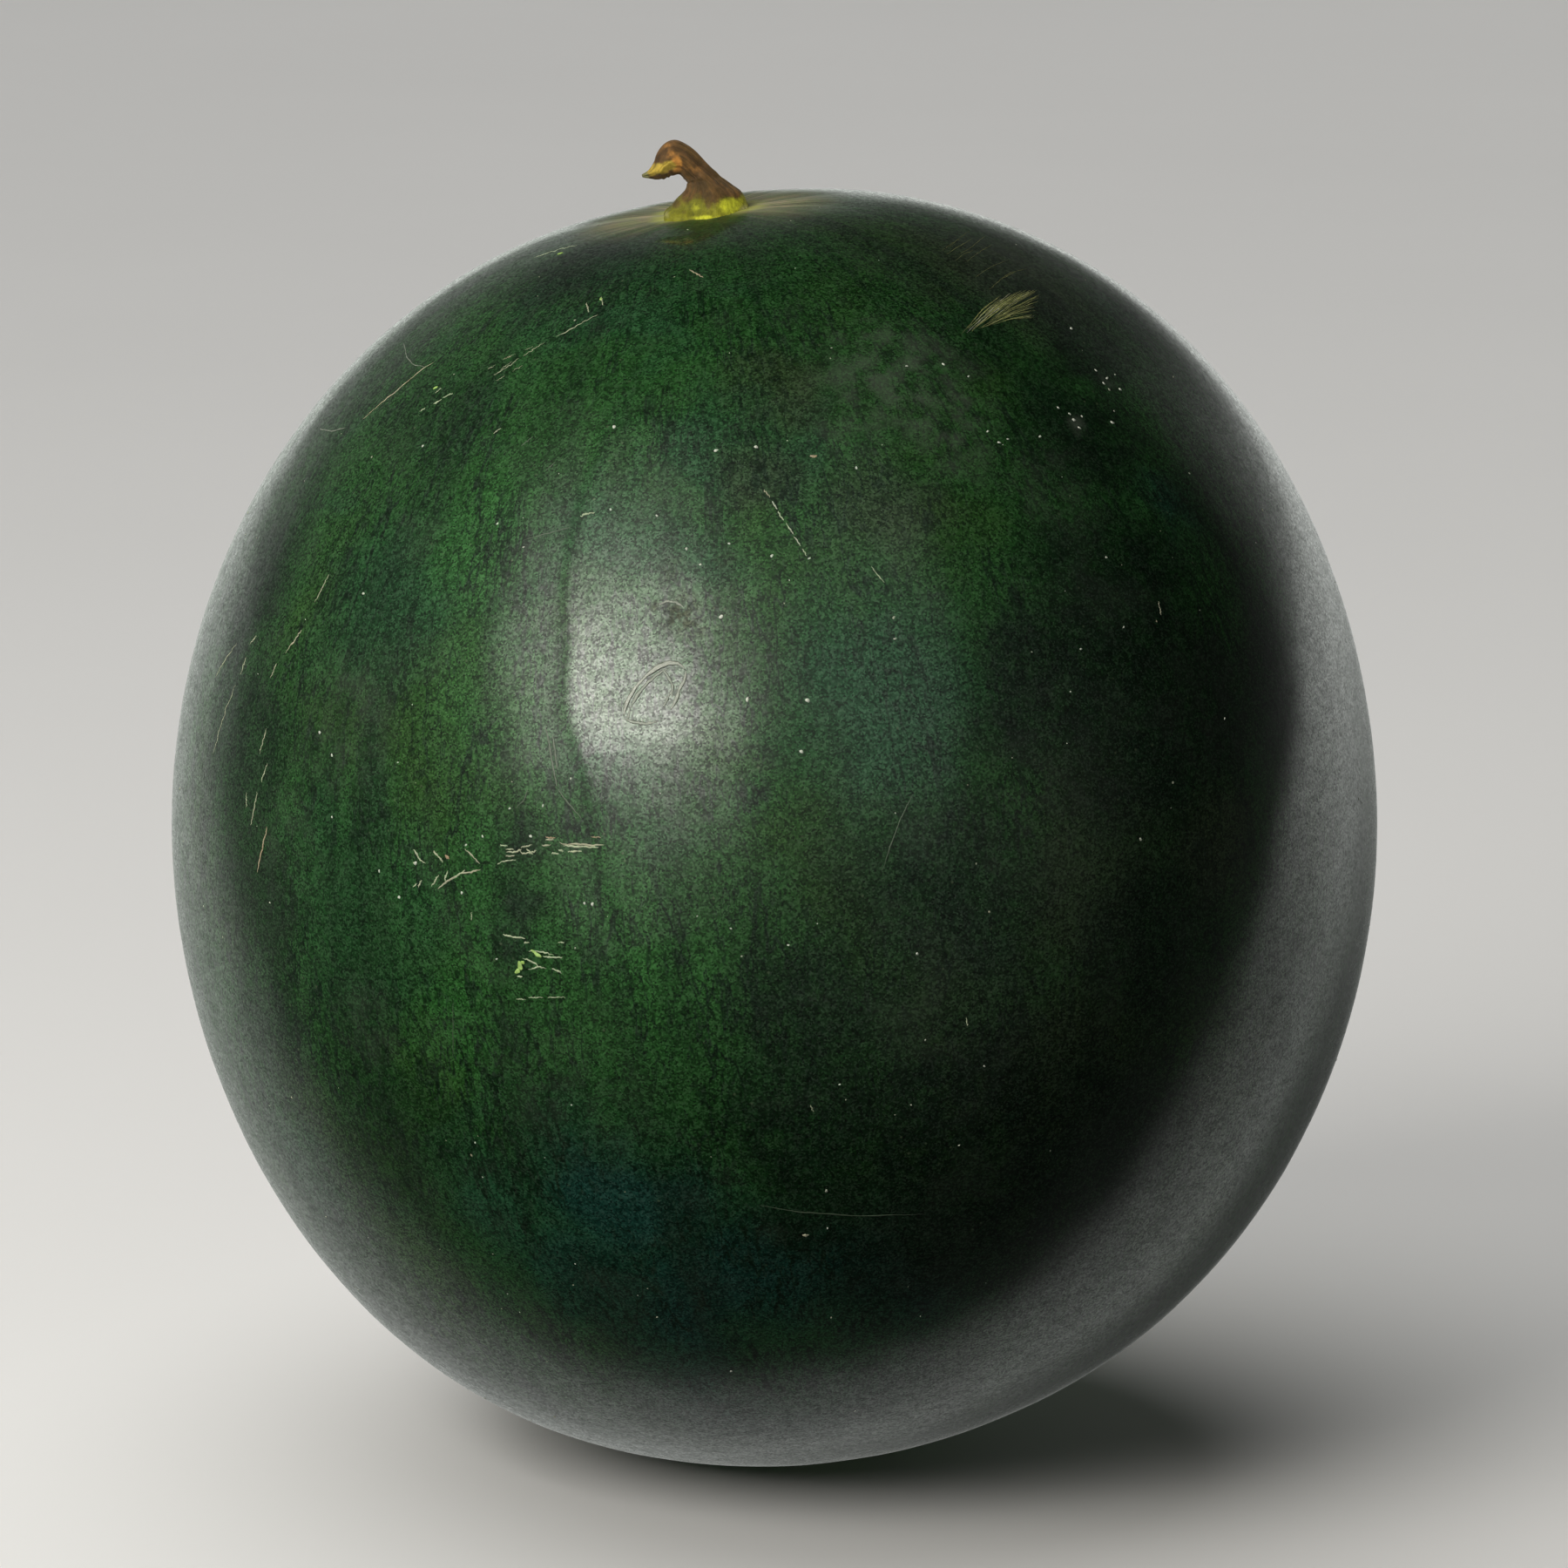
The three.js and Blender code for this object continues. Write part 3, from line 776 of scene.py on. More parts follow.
# Corky scratches and cuts: the tone from 0, orange tan, through 0.5, tan, to 1, pale yellow-green, then the
# width and the points of the line, each across and down, in frame units.
SCRATCHES = (
    # A scattered cluster of nicks on the left of the belt.
    (0.8, 2.8, 475, 974, 478, 980, 483, 988, 489, 991), (0.6, 3.4, 497, 977, 502, 982, 509, 990),
    (0.5, 2.6, 534, 975, 542, 982, 551, 992), (0.5, 3.0, 502, 1021, 513, 1012, 530, 1002),
    (0.4, 3.2, 528, 1003, 538, 1002, 552, 998), (0.7, 2.4, 517, 1010, 525, 1006, 534, 998),
    (0.6, 2.6, 495, 1018, 499, 1012, 503, 1004), (0.7, 2.4, 480, 1018, 484, 1010),
    (0.9, 2.4, 511, 1012, 512, 1005, 514, 1000), (0.9, 2.2, 474, 1018, 478, 1015),
    (0.0, 4.6, 511, 982, 515, 986), (0.9, 4.0, 475, 990, 478, 992),
    # The next cluster, pinkish grey and tangled.
    (0.8, 2.8, 571, 992, 577, 989, 593, 987), (0.55, 2.6, 580, 983, 591, 982),
    (0.6, 2.8, 581, 978, 593, 978, 599, 974), (0.55, 2.4, 580, 975, 590, 975),
    (0.9, 2.2, 574, 970, 583, 971), (0.6, 2.6, 594, 975, 600, 980, 609, 979, 616, 976),
    (0.55, 2.4, 598, 973, 611, 970), (0.6, 2.2, 604, 974, 612, 981),
    # A row of thick tan dashes.
    (0.6, 3.0, 626, 964, 636, 964), (0.5, 3.0, 622, 971, 632, 970),
    (0.4, 3.6, 642, 966, 646, 969, 664, 969, 679, 971, 694, 970), (0.8, 3.4, 646, 971, 664, 972, 688, 973),
    (0.7, 3.0, 652, 978, 668, 977), (1.0, 2.6, 641, 976, 647, 977), (1.0, 2.8, 633, 980, 642, 980),
    (0.1, 1.8, 626, 961, 638, 962), (0.1, 1.6, 678, 961, 690, 961),
    # The lower cluster.
    (0.8, 3.2, 577, 1073, 590, 1076, 603, 1077), (0.9, 2.4, 601, 1082, 607, 1082),
    (0.9, 2.0, 641, 1082, 648, 1082), (0.8, 2.4, 606, 1092, 618, 1092, 636, 1096),
    (0.9, 2.8, 623, 1098, 634, 1099, 646, 1099), (0.9, 2.6, 599, 1100, 607, 1102, 615, 1106, 619, 1110),
    (0.9, 2.4, 606, 1113, 618, 1110, 628, 1112), (0.9, 2.8, 634, 1112, 645, 1117),
    (0.9, 3.2, 594, 1121, 599, 1121), (0.8, 1.6, 592, 1147, 603, 1147), (0.8, 1.6, 606, 1145, 624, 1145),
    (0.8, 1.6, 628, 1145, 649, 1145), (0.8, 1.4, 541, 1047, 541, 1057),
    # The long scratches on the upper left.
    (0.25, 2.6, 415, 482, 430, 469, 447, 455, 466, 439, 484, 424, 499, 414), (0.9, 2.4, 497, 464, 507, 459),
    (0.9, 2.4, 509, 457, 520, 451), (0.7, 2.0, 482, 472, 489, 468), (0.8, 2.0, 500, 451, 506, 446),
    (0.45, 1.6, 567, 431, 584, 420, 596, 411), (0.5, 1.6, 600, 409, 612, 401, 625, 393),
    (0.5, 2.2, 638, 387, 655, 378, 671, 369, 687, 360), (0.4, 1.0, 560, 424, 569, 419),
    (0.4, 1.0, 577, 413, 588, 407), (0.4, 1.0, 570, 437, 580, 431), (0.5, 0.9, 588, 426, 600, 419),
    (0.5, 0.9, 582, 411, 592, 406), (0.5, 0.9, 603, 402, 612, 397), (0.5, 0.9, 574, 424, 588, 415),
    (0.6, 2.0, 673, 347, 676, 359), (0.6, 2.0, 690, 340, 692, 350), (0.7, 1.8, 566, 498, 575, 491),
    # The dashed lines near the left edge.
    (0.5, 2.6, 378, 659, 370, 674, 361, 692), (0.4, 2.8, 346, 723, 338, 735, 327, 751),
    (0.4, 2.6, 318, 761, 314, 770, 310, 779), (0.6, 2.2, 272, 737, 259, 757, 247, 778),
    (0.6, 2.2, 295, 729, 287, 740), (0.6, 2.2, 283, 753, 276, 775),
    (0.6, 2.0, 271, 785, 260, 812, 251, 842, 244, 868), (0.6, 2.2, 306, 836, 298, 866),
    (0.6, 2.2, 307, 876, 300, 898), (0.5, 2.6, 296, 908, 292, 926, 288, 948),
    (0.2, 3.4, 307, 948, 301, 974, 295, 1003), (0.7, 1.6, 283, 908, 283, 928),
    # Single marks over the rest.
    (0.2, 3.4, 791, 310, 799, 314, 807, 319), (0.3, 2.4, 877, 562, 884, 571),
    (1.3, 2.0, 886, 575, 889, 580, 892, 585), (1.0, 2.4, 893, 587, 896, 592, 900, 598),
    (1.3, 1.8, 902, 600, 907, 607, 911, 614), (1.3, 1.8, 912, 616, 916, 622, 919, 627),
    (0.9, 1.6, 921, 630, 926, 638), (0.9, 1.6, 1000, 650, 1007, 659, 1015, 669),
    (1.0, 3.6, 666, 592, 673, 590, 682, 588), (0.2, 4.4, 930, 523, 938, 524),
    (0.3, 4.0, 921, 1418, 929, 1418), (0.9, 2.0, 612, 296, 634, 289, 664, 281),
    (0.8, 1.8, 1109, 1168, 1111, 1178), (0.8, 1.6, 930, 1268, 934, 1276), (0.5, 2.2, 1330, 690, 1333, 706),
)

# Where a branch brushed the right shoulder: pale strokes fan out from one edge to the other.
SCUFF_START = ((1100, 385), (1133, 375))
SCUFF_END = ((1156, 334), (1180, 328), (1204, 328), (1194, 364))
SCUFF_STROKES = 56
SCUFF_TONES = (0.2, 1.4)
SCUFF_WIDTHS = (0.6, 1.3)
SCUFF_STRAY = 0.16  # how far a stroke's end strays along its edge, as a share of the edge
SCUFF_BOW = (-0.45, -0.9)  # the way that the strokes bow, across and down
SCUFF_BOWS = (1.5, 5.0)  # how far they bow, in frame units
FAINT_SCUFFS = (
    (0.30, 1.1, 1081, 288, 1092, 280, 1103, 274), (0.45, 1.0, 1086, 292, 1101, 283, 1116, 274),
    (0.30, 1.1, 1100, 293, 1116, 283, 1131, 271), (0.40, 1.0, 1090, 283, 1102, 273, 1113, 265),
    (0.25, 1.1, 1110, 300, 1126, 288, 1140, 281), (0.35, 1.0, 1120, 318, 1138, 306, 1158, 298),
    (0.40, 1.0, 1136, 332, 1150, 320, 1168, 311), (0.25, 1.0, 1146, 322, 1160, 313, 1180, 308),
    (0.30, 1.0, 1096, 300, 1106, 292, 1118, 287),
)

# Fresh nicks, bright yellow-green: the place and half-sizes of each in frame units, and its turn in degrees.
NICKS = np.array([
    (617, 1096, 4.2, 2.6, -35), (612, 1092, 2.6, 1.6, -10), (597, 1109, 3.4, 4.4, 20),
    (594, 1115, 3.0, 3.0, 0), (600, 1105, 2.4, 2.0, 40), (500, 445, 2.8, 2.0, 30), (643, 291, 4.0, 2.2, 10),
    (690, 343, 1.8, 2.6, 0),
])

# Pale specks that stand out: the place and radius of each in frame units.
SPECKS = (
    (705, 490, 2.6), (822, 517, 2.6), (868, 513, 2.4), (828, 708, 2.8), (858, 803, 2.9), (927, 804, 2.9),
    (920, 863, 2.4), (1230, 377, 2.6), (367, 841, 2.4), (381, 867, 2.0), (381, 938, 1.8), (886, 638, 2.0),
    (929, 641, 1.8), (754, 592, 1.7), (701, 585, 1.6), (837, 624, 1.5), (571, 601, 1.6), (601, 628, 1.4),
    (788, 630, 1.9), (804, 648, 1.6), (623, 925, 1.9), (585, 928, 1.4), (554, 960, 1.6), (535, 970, 1.5),
    (609, 960, 2.2), (435, 1000, 1.9), (477, 991, 2.6), (671, 1037, 2.0), (680, 1038, 2.2), (530, 1025, 1.8),
    (458, 1030, 2.2), (570, 1101, 1.6), (1277, 485, 2.8), (1215, 468, 1.8), (1147, 508, 2.2),
    (1083, 418, 2.0), (1041, 420, 1.7), (983, 537, 1.8), (1194, 501, 2.0), (1157, 504, 1.6),
    (1112, 432, 1.8), (1271, 434, 2.6), (1258, 425, 2.0), (1286, 447, 2.2), (1233, 482, 2.6),
    (1239, 491, 2.2), (1228, 475, 1.8), (1267, 440, 1.8), (1280, 430, 1.5), (1242, 478, 1.5),
    (1134, 495, 2.0), (839, 1066, 1.6), (1130, 1224, 1.6), (950, 1410, 1.4), (1053, 1095, 2.0),
    (1290, 720, 1.6), (1241, 745, 1.5), (1270, 640, 1.6), (964, 1245, 1.4), (905, 1085, 1.4),
)


def along_line(points, count):
    """Evenly spaced points along a broken line."""
    points = np.array(points, float)
    run = np.concatenate([[0], np.cumsum(np.linalg.norm(np.diff(points, axis=0), axis=1))])
    wanted = np.linspace(0, run[-1], count)
    return np.stack([np.interp(wanted, run, points[:, axis]) for axis in range(points.shape[1])], axis=-1)


def stroke_points(ways, widths, heights, rng, shape):
    """Low closed strips that lie along lines on the skin, shaped (strokes, stations, sides, 3).

    Each section is a flat ellipse, half of it above the skin. Its size swells in from nothing at both ends as
    a power of a sine, and wavers on the way.
    """
    path = skin_point(ways, shape)
    out = skin_outward(ways, shape)
    ahead = unit(np.gradient(path, axis=1))
    across = unit(np.cross(ahead, out))
    share = np.linspace(0, 1, ways.shape[1])
    swell = np.sin(math.pi * share) ** STROKE_SWELL
    waver = rng.normal(0, STROKE_WAVER, (len(ways), ways.shape[1]))
    waver = (waver + np.roll(waver, 1, axis=1) + np.roll(waver, -1, axis=1)) / 1.7
    size = swell * np.clip(1 + waver, *STROKE_SIZES)
    size[:, [0, -1]] = 0
    angle = 2 * math.pi * np.arange(STROKE_SIDES) / STROKE_SIDES
    half_width = (size * widths[:, None] / 2)[:, :, None, None]
    height = (size * heights[:, None])[:, :, None, None]
    sideways = half_width * np.cos(angle)[:, None] * across[:, :, None]
    upwards = height * np.sin(angle)[:, None] * out[:, :, None]
    return path[:, :, None] + (sideways + upwards)


def framed_strokes(strokes, rng, shape, wobble=0.5):
    """The ways, widths and tones of strokes that are given in frame units, with slightly wobbly lines."""
    lines = np.array([along_line(np.reshape(places, (-1, 2)), STROKE_STATIONS) for _, _, *places in strokes])
    drift = rng.normal(0, wobble, lines.shape)
    lines = lines + (drift + np.roll(drift, 1, axis=1)) / 2
    widths = STROKE_NARROWING * FRAME_UNIT * np.array([width for _, width, *_ in strokes])
    tones = np.array([tone for tone, *_ in strokes])
    return way_in_view(lines, shape), widths, tones


def scattered_ways(rng, count, limits):
    """Seeded ways all round the fruit, less those past the limits: too far down, or too near the stem."""
    ways = unit(rng.normal(size=(count, 3)))
    lowest, nearest = limits
    return ways[(ways[:, 2] > lowest) & (ways @ STEM_WAY < nearest)]


def hidden_ways(rng, count):
    """Seeded ways over the parts of the fruit that the camera doesn't see."""
    ways = scattered_ways(rng, HIDDEN_TRIES * count, HIDDEN_LIMITS)
    return ways[ways @ VIEW_BACK < HIDDEN_FROM_CAMERA][:count]


def scattered_strokes(rng, count):
    """Seeded scratches over the hidden sides: short, slightly bent lines that keep to a few clusters.

    Each is a straight step over the unit sphere, bent sideways with the square of the way from its middle.
    """
    seats = hidden_ways(rng, HIDDEN_CLUSTERS)
    starts = unit(seats[rng.integers(0, len(seats), count)] + rng.normal(0, CLUSTER_SPREAD, (count, 3)))
    lone = hidden_ways(rng, count)
    starts = np.where(rng.random((count, 1)) < LONE_SHARE, lone, starts)
    helper = unit(np.cross(starts, np.array((0.2, 0.1, 1.0))))
    other = np.cross(starts, helper)
    turn = rng.normal(0, TURN_SPREAD, (count, 1))
    ahead = np.cos(turn) * helper + np.sin(turn) * other
    bend = rng.normal(0, BEND_SPREAD, (count, 1)) * np.cross(starts, ahead)
    length = np.minimum(rng.exponential(HIDDEN_MEAN_LENGTH, count) + HIDDEN_LENGTHS[0], HIDDEN_LENGTHS[1])
    share = np.linspace(-0.5, 0.5, STROKE_STATIONS)[None, :, None]
    ways = unit(starts[:, None] + length[:, None, None] * (share * ahead[:, None] + share**2 * bend[:, None]))
    return ways, rng.uniform(*HIDDEN_WIDTHS, count) * MM, rng.uniform(*MARK_TONES, count)


def scuff_strokes(rng):
    """Straight strokes from one edge of the scuff to the other, each over part of the way."""
    strokes = []
    for share in np.sort(rng.random(SCUFF_STROKES)):
        start = (1 - share) * np.array(SCUFF_START[0]) + share * np.array(SCUFF_START[1])
        end = along_line(SCUFF_END, 101)[int(100 * np.clip(share + rng.normal(0, SCUFF_STRAY), 0, 1))]
        first, last = np.sort(rng.uniform(0.0, 1.0, 2)) * (0.75, 0.35) + (0.0, 0.65)
        middle = (start + end) / 2 + np.array(SCUFF_BOW) * rng.uniform(*SCUFF_BOWS)
        line = along_line([start, middle, end], 21)
        line = line[int(20 * first):max(int(20 * last), int(20 * first) + 3)]
        strokes.append((rng.uniform(*SCUFF_TONES), rng.uniform(*SCUFF_WIDTHS), *line.ravel()))
    return strokes


def dab_points(ways, radii, heights, spin, rng, shape, sides=8, rings=5):
    """Small flattened domes on the skin, shaped (dabs, rings, sides, 3).

    Each is an ellipsoid, half of it above the skin, whose outline two seeded cosines make uneven.
    """
    out = skin_outward(ways, shape)
    helper = unit(np.cross(out, np.array((0.13, 0.31, 0.94))))
    other = np.cross(out, helper)
    first = np.cos(spin)[:, None] * helper + np.sin(spin)[:, None] * other
    second = np.cross(out, first)
    fall = np.linspace(0, math.pi, rings)[None, :, None, None]
    angle = (2 * math.pi * np.arange(sides) / sides)[None, None, :, None]
    uneven = 1
    for waves, share in DAB_LOBES:
        uneven = uneven + share * np.cos(waves * angle + rng.uniform(*ANY_TURN, (len(ways), 1, 1, 1)))
    flat = radii[:, 0, None, None, None] * np.cos(angle) * first[:, None, None]
    flat = flat + radii[:, 1, None, None, None] * np.sin(angle) * second[:, None, None]
    return (skin_point(ways, shape)[:, None, None] + np.sin(fall) * uneven * flat
            + heights[:, None, None, None] * np.cos(fall) * out[:, None, None])


def make_marks(name, points, material, tones):
    """Puts closed grids on the skin as one piece, each grid with its own tone."""
    tone = np.broadcast_to(tones[:, None, None], points.shape[:3])
    make_piece(name, points, material, None, {"tone": tone})


def cork_material(name, pale, tan, orange):
    """Dry cork: tone picks the colour, fibres run through it, and it is matt."""
    f = Finish(name)
    tone = f.attribute("tone")
    fibre = f.noise(f.place, 1600, 3, 0.7)
    patch = f.noise(f.place, 340, 2)
    shift = f.math("ADD", tone, f.product(f.math("SUBTRACT", patch, 0.5), 0.7))
    colour = f.mix(f.between(shift, 0.0, 0.45), orange, tan)
    colour = f.mix(f.between(shift, 0.4, 0.9), colour, pale)
    colour = f.mix(f.between(shift, 1.2, 1.5), colour, CORK_WHITE)
    colour = f.shaded(colour, f.between(fibre, 0.3, 0.7, 0.75, 1.2))
    return f.set(Base_Color=colour, Roughness=f.between(patch, 0.3, 0.7, 0.55, 0.8), Specular_IOR_Level=0.35,
                 Normal=f.bump(fibre, 0.04 * MM))


def healed_material():
    """Healed skin: its tone takes it from green to a pale grain, which paints a highlight on its ridges, and it
    is a little waxy.
    """
    f = Finish("healed_skin")
    grain = f.noise(f.place, 1100, 3, 0.6)
    colour = f.mix(f.between(grain, 0.3, 0.7, 0.35, 1.0), *HEALED_GRAIN_AND_HIGHLIGHT)
    colour = f.mix(f.between(f.attribute("tone"), 0.0, 1.0), HEALED_GREEN, colour)
    return f.set(Base_Color=colour, Roughness=f.between(grain, 0.3, 0.7, 0.45, 0.6), Coat_Weight=0.25,
                 Coat_Roughness=0.2, Normal=f.bump(grain, 0.02 * MM))


# ---- the stub's form

STUB_SIDES = 120
STUB_RINGS = 250
STUB_RIDGES = 5
STUB_RIDGE_SHARE = 0.06
STUB_TWIST = 1.2  # radians of a ridge's wave from foot to tip
# Fibres along the dried stub: how many, five times the angle that they wind round it from foot to tip, in
# radians, and their share of the thickness.
STUB_FIBRES = ((9, 2.3, 0.016), (14, -1.7, 0.013), (23, 3.1, 0.011), (37, 1.9, 0.009))
STUB_SEED = 5
STUB_WAVES = 14  # seeded waves that make the stub uneven
STUB_WAVE_PITCH = (26, 2.2)  # their mean pitch along it and round it
STUB_WAVE_SHARE = 0.006
CROOK_PLACE = 0.72  # of the way from foot to tip
CROOK_REACH = 0.15
TEAR = (0.85, 0.98)  # where the tip begins to be ragged, and where it is so in full
WRINKLE_PITCH = 95  # radians of their wave from foot to tip
WRINKLE_SHARE = 0.022
# Colours of single patches on the stub, as linear shares of red, green and blue.
STUB_TAN = (0.165, 0.084, 0.030)
# A brighter copy of the sap yellow: painted light on the foot's right lobe, which the lamps leave dim, and
# brighter yellow along its lower edge.
LIT_SAP = (0.56, 0.57, 0.032)
STAIN = (0.10, 0.070, 0.011)
HUSK = (0.34, 0.32, 0.13)


def passing_curve(stations, shares):
    """A centripetal Catmull-Rom curve through the stations, at shares of the way from first to last.

    Between two stations it is the cubic whose slopes at both come from the three stations round each.
    """
    ends = np.concatenate([[2 * stations[0] - stations[1]], stations, [2 * stations[-1] - stations[-2]]])
    place = np.clip(shares, 0, 1) * (len(stations) - 1)
    index = np.minimum(place.astype(int), len(stations) - 2)
    t = (place - index)[:, None]
    before, first, last, after = (ends[index + k] for k in range(4))
    steps = [np.sqrt(np.linalg.norm(b - a, axis=-1, keepdims=True))
             for a, b in ((before, first), (first, last), (last, after))]
    d0, d1, d2 = (np.maximum(step, 1e-4) for step in steps)
    leave = ((first - before) / d0 - (last - before) / (d0 + d1) + (last - first) / d1) * d1
    arrive = ((last - first) / d1 - (after - first) / (d1 + d2) + (after - last) / d2) * d1
    return ((2 * t**3 - 3 * t**2 + 1) * first + (t**3 - 2 * t**2 + t) * leave
            + (3 * t**2 - 2 * t**3) * last + (t**3 - t**2) * arrive)


def stub_points(shape):
    """The stub's surface, and its places from foot to tip, its angles round and how far it is sunk for painted
    shade in its creases, each shaped (1, rings, sides).

    An ellipse is carried along the curve through the stations, leaning with it. Its size is raised by five
    twisted ridges, finer fibres, wrinkles under the crook, a seeded unevenness and a ragged tip.
    """
    rng = np.random.default_rng(STUB_SEED)
    along = np.linspace(1, 0, STUB_RINGS)
    angle = 2 * math.pi * np.arange(STUB_SIDES) / STUB_SIDES
    middle = passing_curve(STUB_STATIONS[:, :3], along) * MM
    lean, width, depth = passing_curve(STUB_STATIONS[:, 3:], along).T
    a, s = angle[None, :], along[:, None]
    size = 1 + STUB_RIDGE_SHARE * np.cos(STUB_RIDGES * a + STUB_TWIST * s)
    for count, twist, share in STUB_FIBRES:
        drift = 0.5 * np.sin(5 * s + count) + rng.uniform(*ANY_TURN)
        strength = 0.55 + 0.45 * np.sin(9 * s + 0.7 * count + a)
        size = size + share * strength * np.cos(count * a + twist * count / 5 * s + drift)
    waves = rng.normal(size=(STUB_WAVES, 2)) * STUB_WAVE_PITCH
    for wave in waves:
        shift = rng.uniform(*ANY_TURN)
        size = size + STUB_WAVE_SHARE * np.cos(wave[0] * s + np.round(wave[1]) * a + shift)
    crook = bell(s - CROOK_PLACE, CROOK_REACH)
    under = 0.5 - 0.5 * np.cos(a)
    size = size + WRINKLE_SHARE * crook * under * np.cos(WRINKLE_PITCH * s + 2 * np.sin(2 * a))
    torn = rise(s, *TEAR)
    size = size * (1 + torn * (0.16 * np.cos(3 * a + 2) + 0.10 * np.cos(7 * a + 9 * s)))
    size[[0, -1]] = 0
    slope = np.radians(lean)[:, None]
    across = MM * width[:, None] * size * np.cos(a)
    points = np.stack([
        middle[:, None, 0] + across * np.cos(slope),
        middle[:, None, 1] + MM * depth[:, None] * size * np.sin(a),
        middle[:, None, 2] + across * np.sin(slope)], axis=-1)
    # How far the surface is sunk below its plain size, which paints shade into its creases.
    shadow = np.broadcast_to(size - 1, points.shape[:2])
    shadow = np.where(np.abs(shadow) > 0.5, 0, shadow)
    foot = skin_point(STEM_WAY, shape, False)
    whole = (np.broadcast_to(s, shadow.shape), np.broadcast_to(a, shadow.shape), shadow)
    return points[None] + foot, [part[None] for part in whole]


def stub_material(colours):
    """Dried stem: brown bark with fibres along it, painted shade in its sunk creases, and the patches that its
    vertices carry, the brightest yellow of them painted light.
    """
    f = Finish("dried_stub")
    course = f.attribute("course", "Vector")
    fibre = f.noise(f.stretched(course, (7, 7, 5)), 1.0, 5, 0.7, 0.2)
    fleck = f.noise(f.place, 900, 4, 0.7)
    patch = f.noise(f.place, 300, 3, 0.6)
    colour = f.mix(f.between(fibre, 0.36, 0.62), colours.dark, colours.bark)
    colour = f.mix(f.product(f.between(patch, 0.48, 0.62), 0.5), colour, STUB_TAN)
    frayed = f.math("ADD", f.product(f.math("SUBTRACT", patch, 0.5), 0.72),
                    f.product(f.math("SUBTRACT", fleck, 0.5), 0.4))
    # The brightest yellow tint is painted light on the foot's right lobe.
    tints = {"umber": colours.dark, "warm": colours.orange, "gold": colours.gold, "sap": colours.sap,
             "lemon": LIT_SAP, "stain": STAIN, "husk": HUSK}
    for name, tint in tints.items():
        mask = f.attribute(name)
        edge = f.between(f.math("ADD", mask, frayed), 0.25, 0.85)
        colour = f.mix(f.product(edge, f.between(mask, 0.0, 0.2)), colour, tint)
    colour = f.shaded(colour, f.between(fleck, 0.3, 0.7, 0.7, 1.25))
    # Painted shade: darker where the surface is sunk into creases.
    colour = f.shaded(colour, f.between(f.attribute("crease"), -0.08, 0.02, 0.6, 1.0))
    return f.set(
        Base_Color=colour, Roughness=f.between(fibre, 0.3, 0.7, 0.62, 0.9), Specular_IOR_Level=0.3,
        Normal=f.bump(fleck, 0.06 * MM, f.bump(fibre, 0.22 * MM)), Sheen_Weight=0.12, Sheen_Roughness=0.4,
        Sheen_Tint=(0.9, 0.95, 0.85))


# ---- operators


class WATERMELON_OT_skin(bpy.types.Operator):
    """The fruit's fine skin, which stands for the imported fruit"""

    bl_idname = "watermelon.skin"
    bl_label = "Skin"

    SIDES = 480
    RINGS = 200
    CROWDING = 0.6  # draws the rings together towards both ends

    def execute(self, context):
        shape = context.scene.melon_shape
        along = np.linspace(0, 1, self.RINGS)
        from_stem = (math.pi * along - self.CROWDING / 2 * np.sin(2 * math.pi * along))[:, None]
        around = (2 * math.pi * np.arange(self.SIDES) / self.SIDES)[None, :]
        flat = np.sin(from_stem)
        local = np.stack([flat * np.cos(around), flat * np.sin(around),
                          np.broadcast_to(np.cos(from_stem), (self.RINGS, self.SIDES))], axis=-1)
        points = skin_point(local @ STEM_TURN.T, shape)
        course = np.stack(np.broadcast_arrays(np.cos(around), np.sin(around), from_stem), axis=-1)
        material = skin_material(shape, context.scene.skin_finish)
        make_piece("skin", points[None], material, "fruit", {"course": course[None]})
        return {"FINISHED"}


# Patches on the side of the stub that faces the front: the kind, place and reach of each, across and down, in
# frame units, and its strength. The brightest yellow ones are painted light on the foot's right lobe.
STUB_PATCHES = (
    ("warm", 777, 188, 6, 9, 1.3), ("warm", 771, 176, 8, 8, 0.5), ("warm", 797, 193, 15, 9, 0.38),
    ("warm", 766, 166, 8, 6, 0.35), ("gold", 757, 194, 10, 6, 1.4), ("gold", 768, 190, 8, 5, 1.3),
    ("gold", 748, 198, 6, 4.5, 1.1), ("umber", 762, 184, 5, 3, 0.55), ("umber", 806, 213, 10, 9, 1.1),
    ("umber", 812, 226, 6, 9, 0.9), ("stain", 813, 234, 5, 9, 1.0), ("stain", 776, 234, 8, 8, 0.9),
    ("stain", 789, 229, 6, 5, 0.8), ("stain", 785, 243, 5, 4, 0.6), ("lemon", 838, 236, 12, 10, 1.2),
    ("lemon", 808, 250, 20, 4, 0.75), ("lemon", 799, 239, 8, 8, 0.7), ("stain", 800, 225, 8, 5, 0.8),
    ("umber", 782, 203, 7, 3, 0.5), ("umber", 748, 201, 4, 3, 0.6), ("husk", 857, 243, 9, 9, 0.9),
    ("husk", 765, 246, 6, 7, 0.6),
)
# The yellow-green lobes that climb the stub's foot, in millimetres above it.
FOOT_LOBES = 7
LOBE_TOP = 2.9
LOBE_SWING = 0.45
LOBE_TURN = math.radians(108)


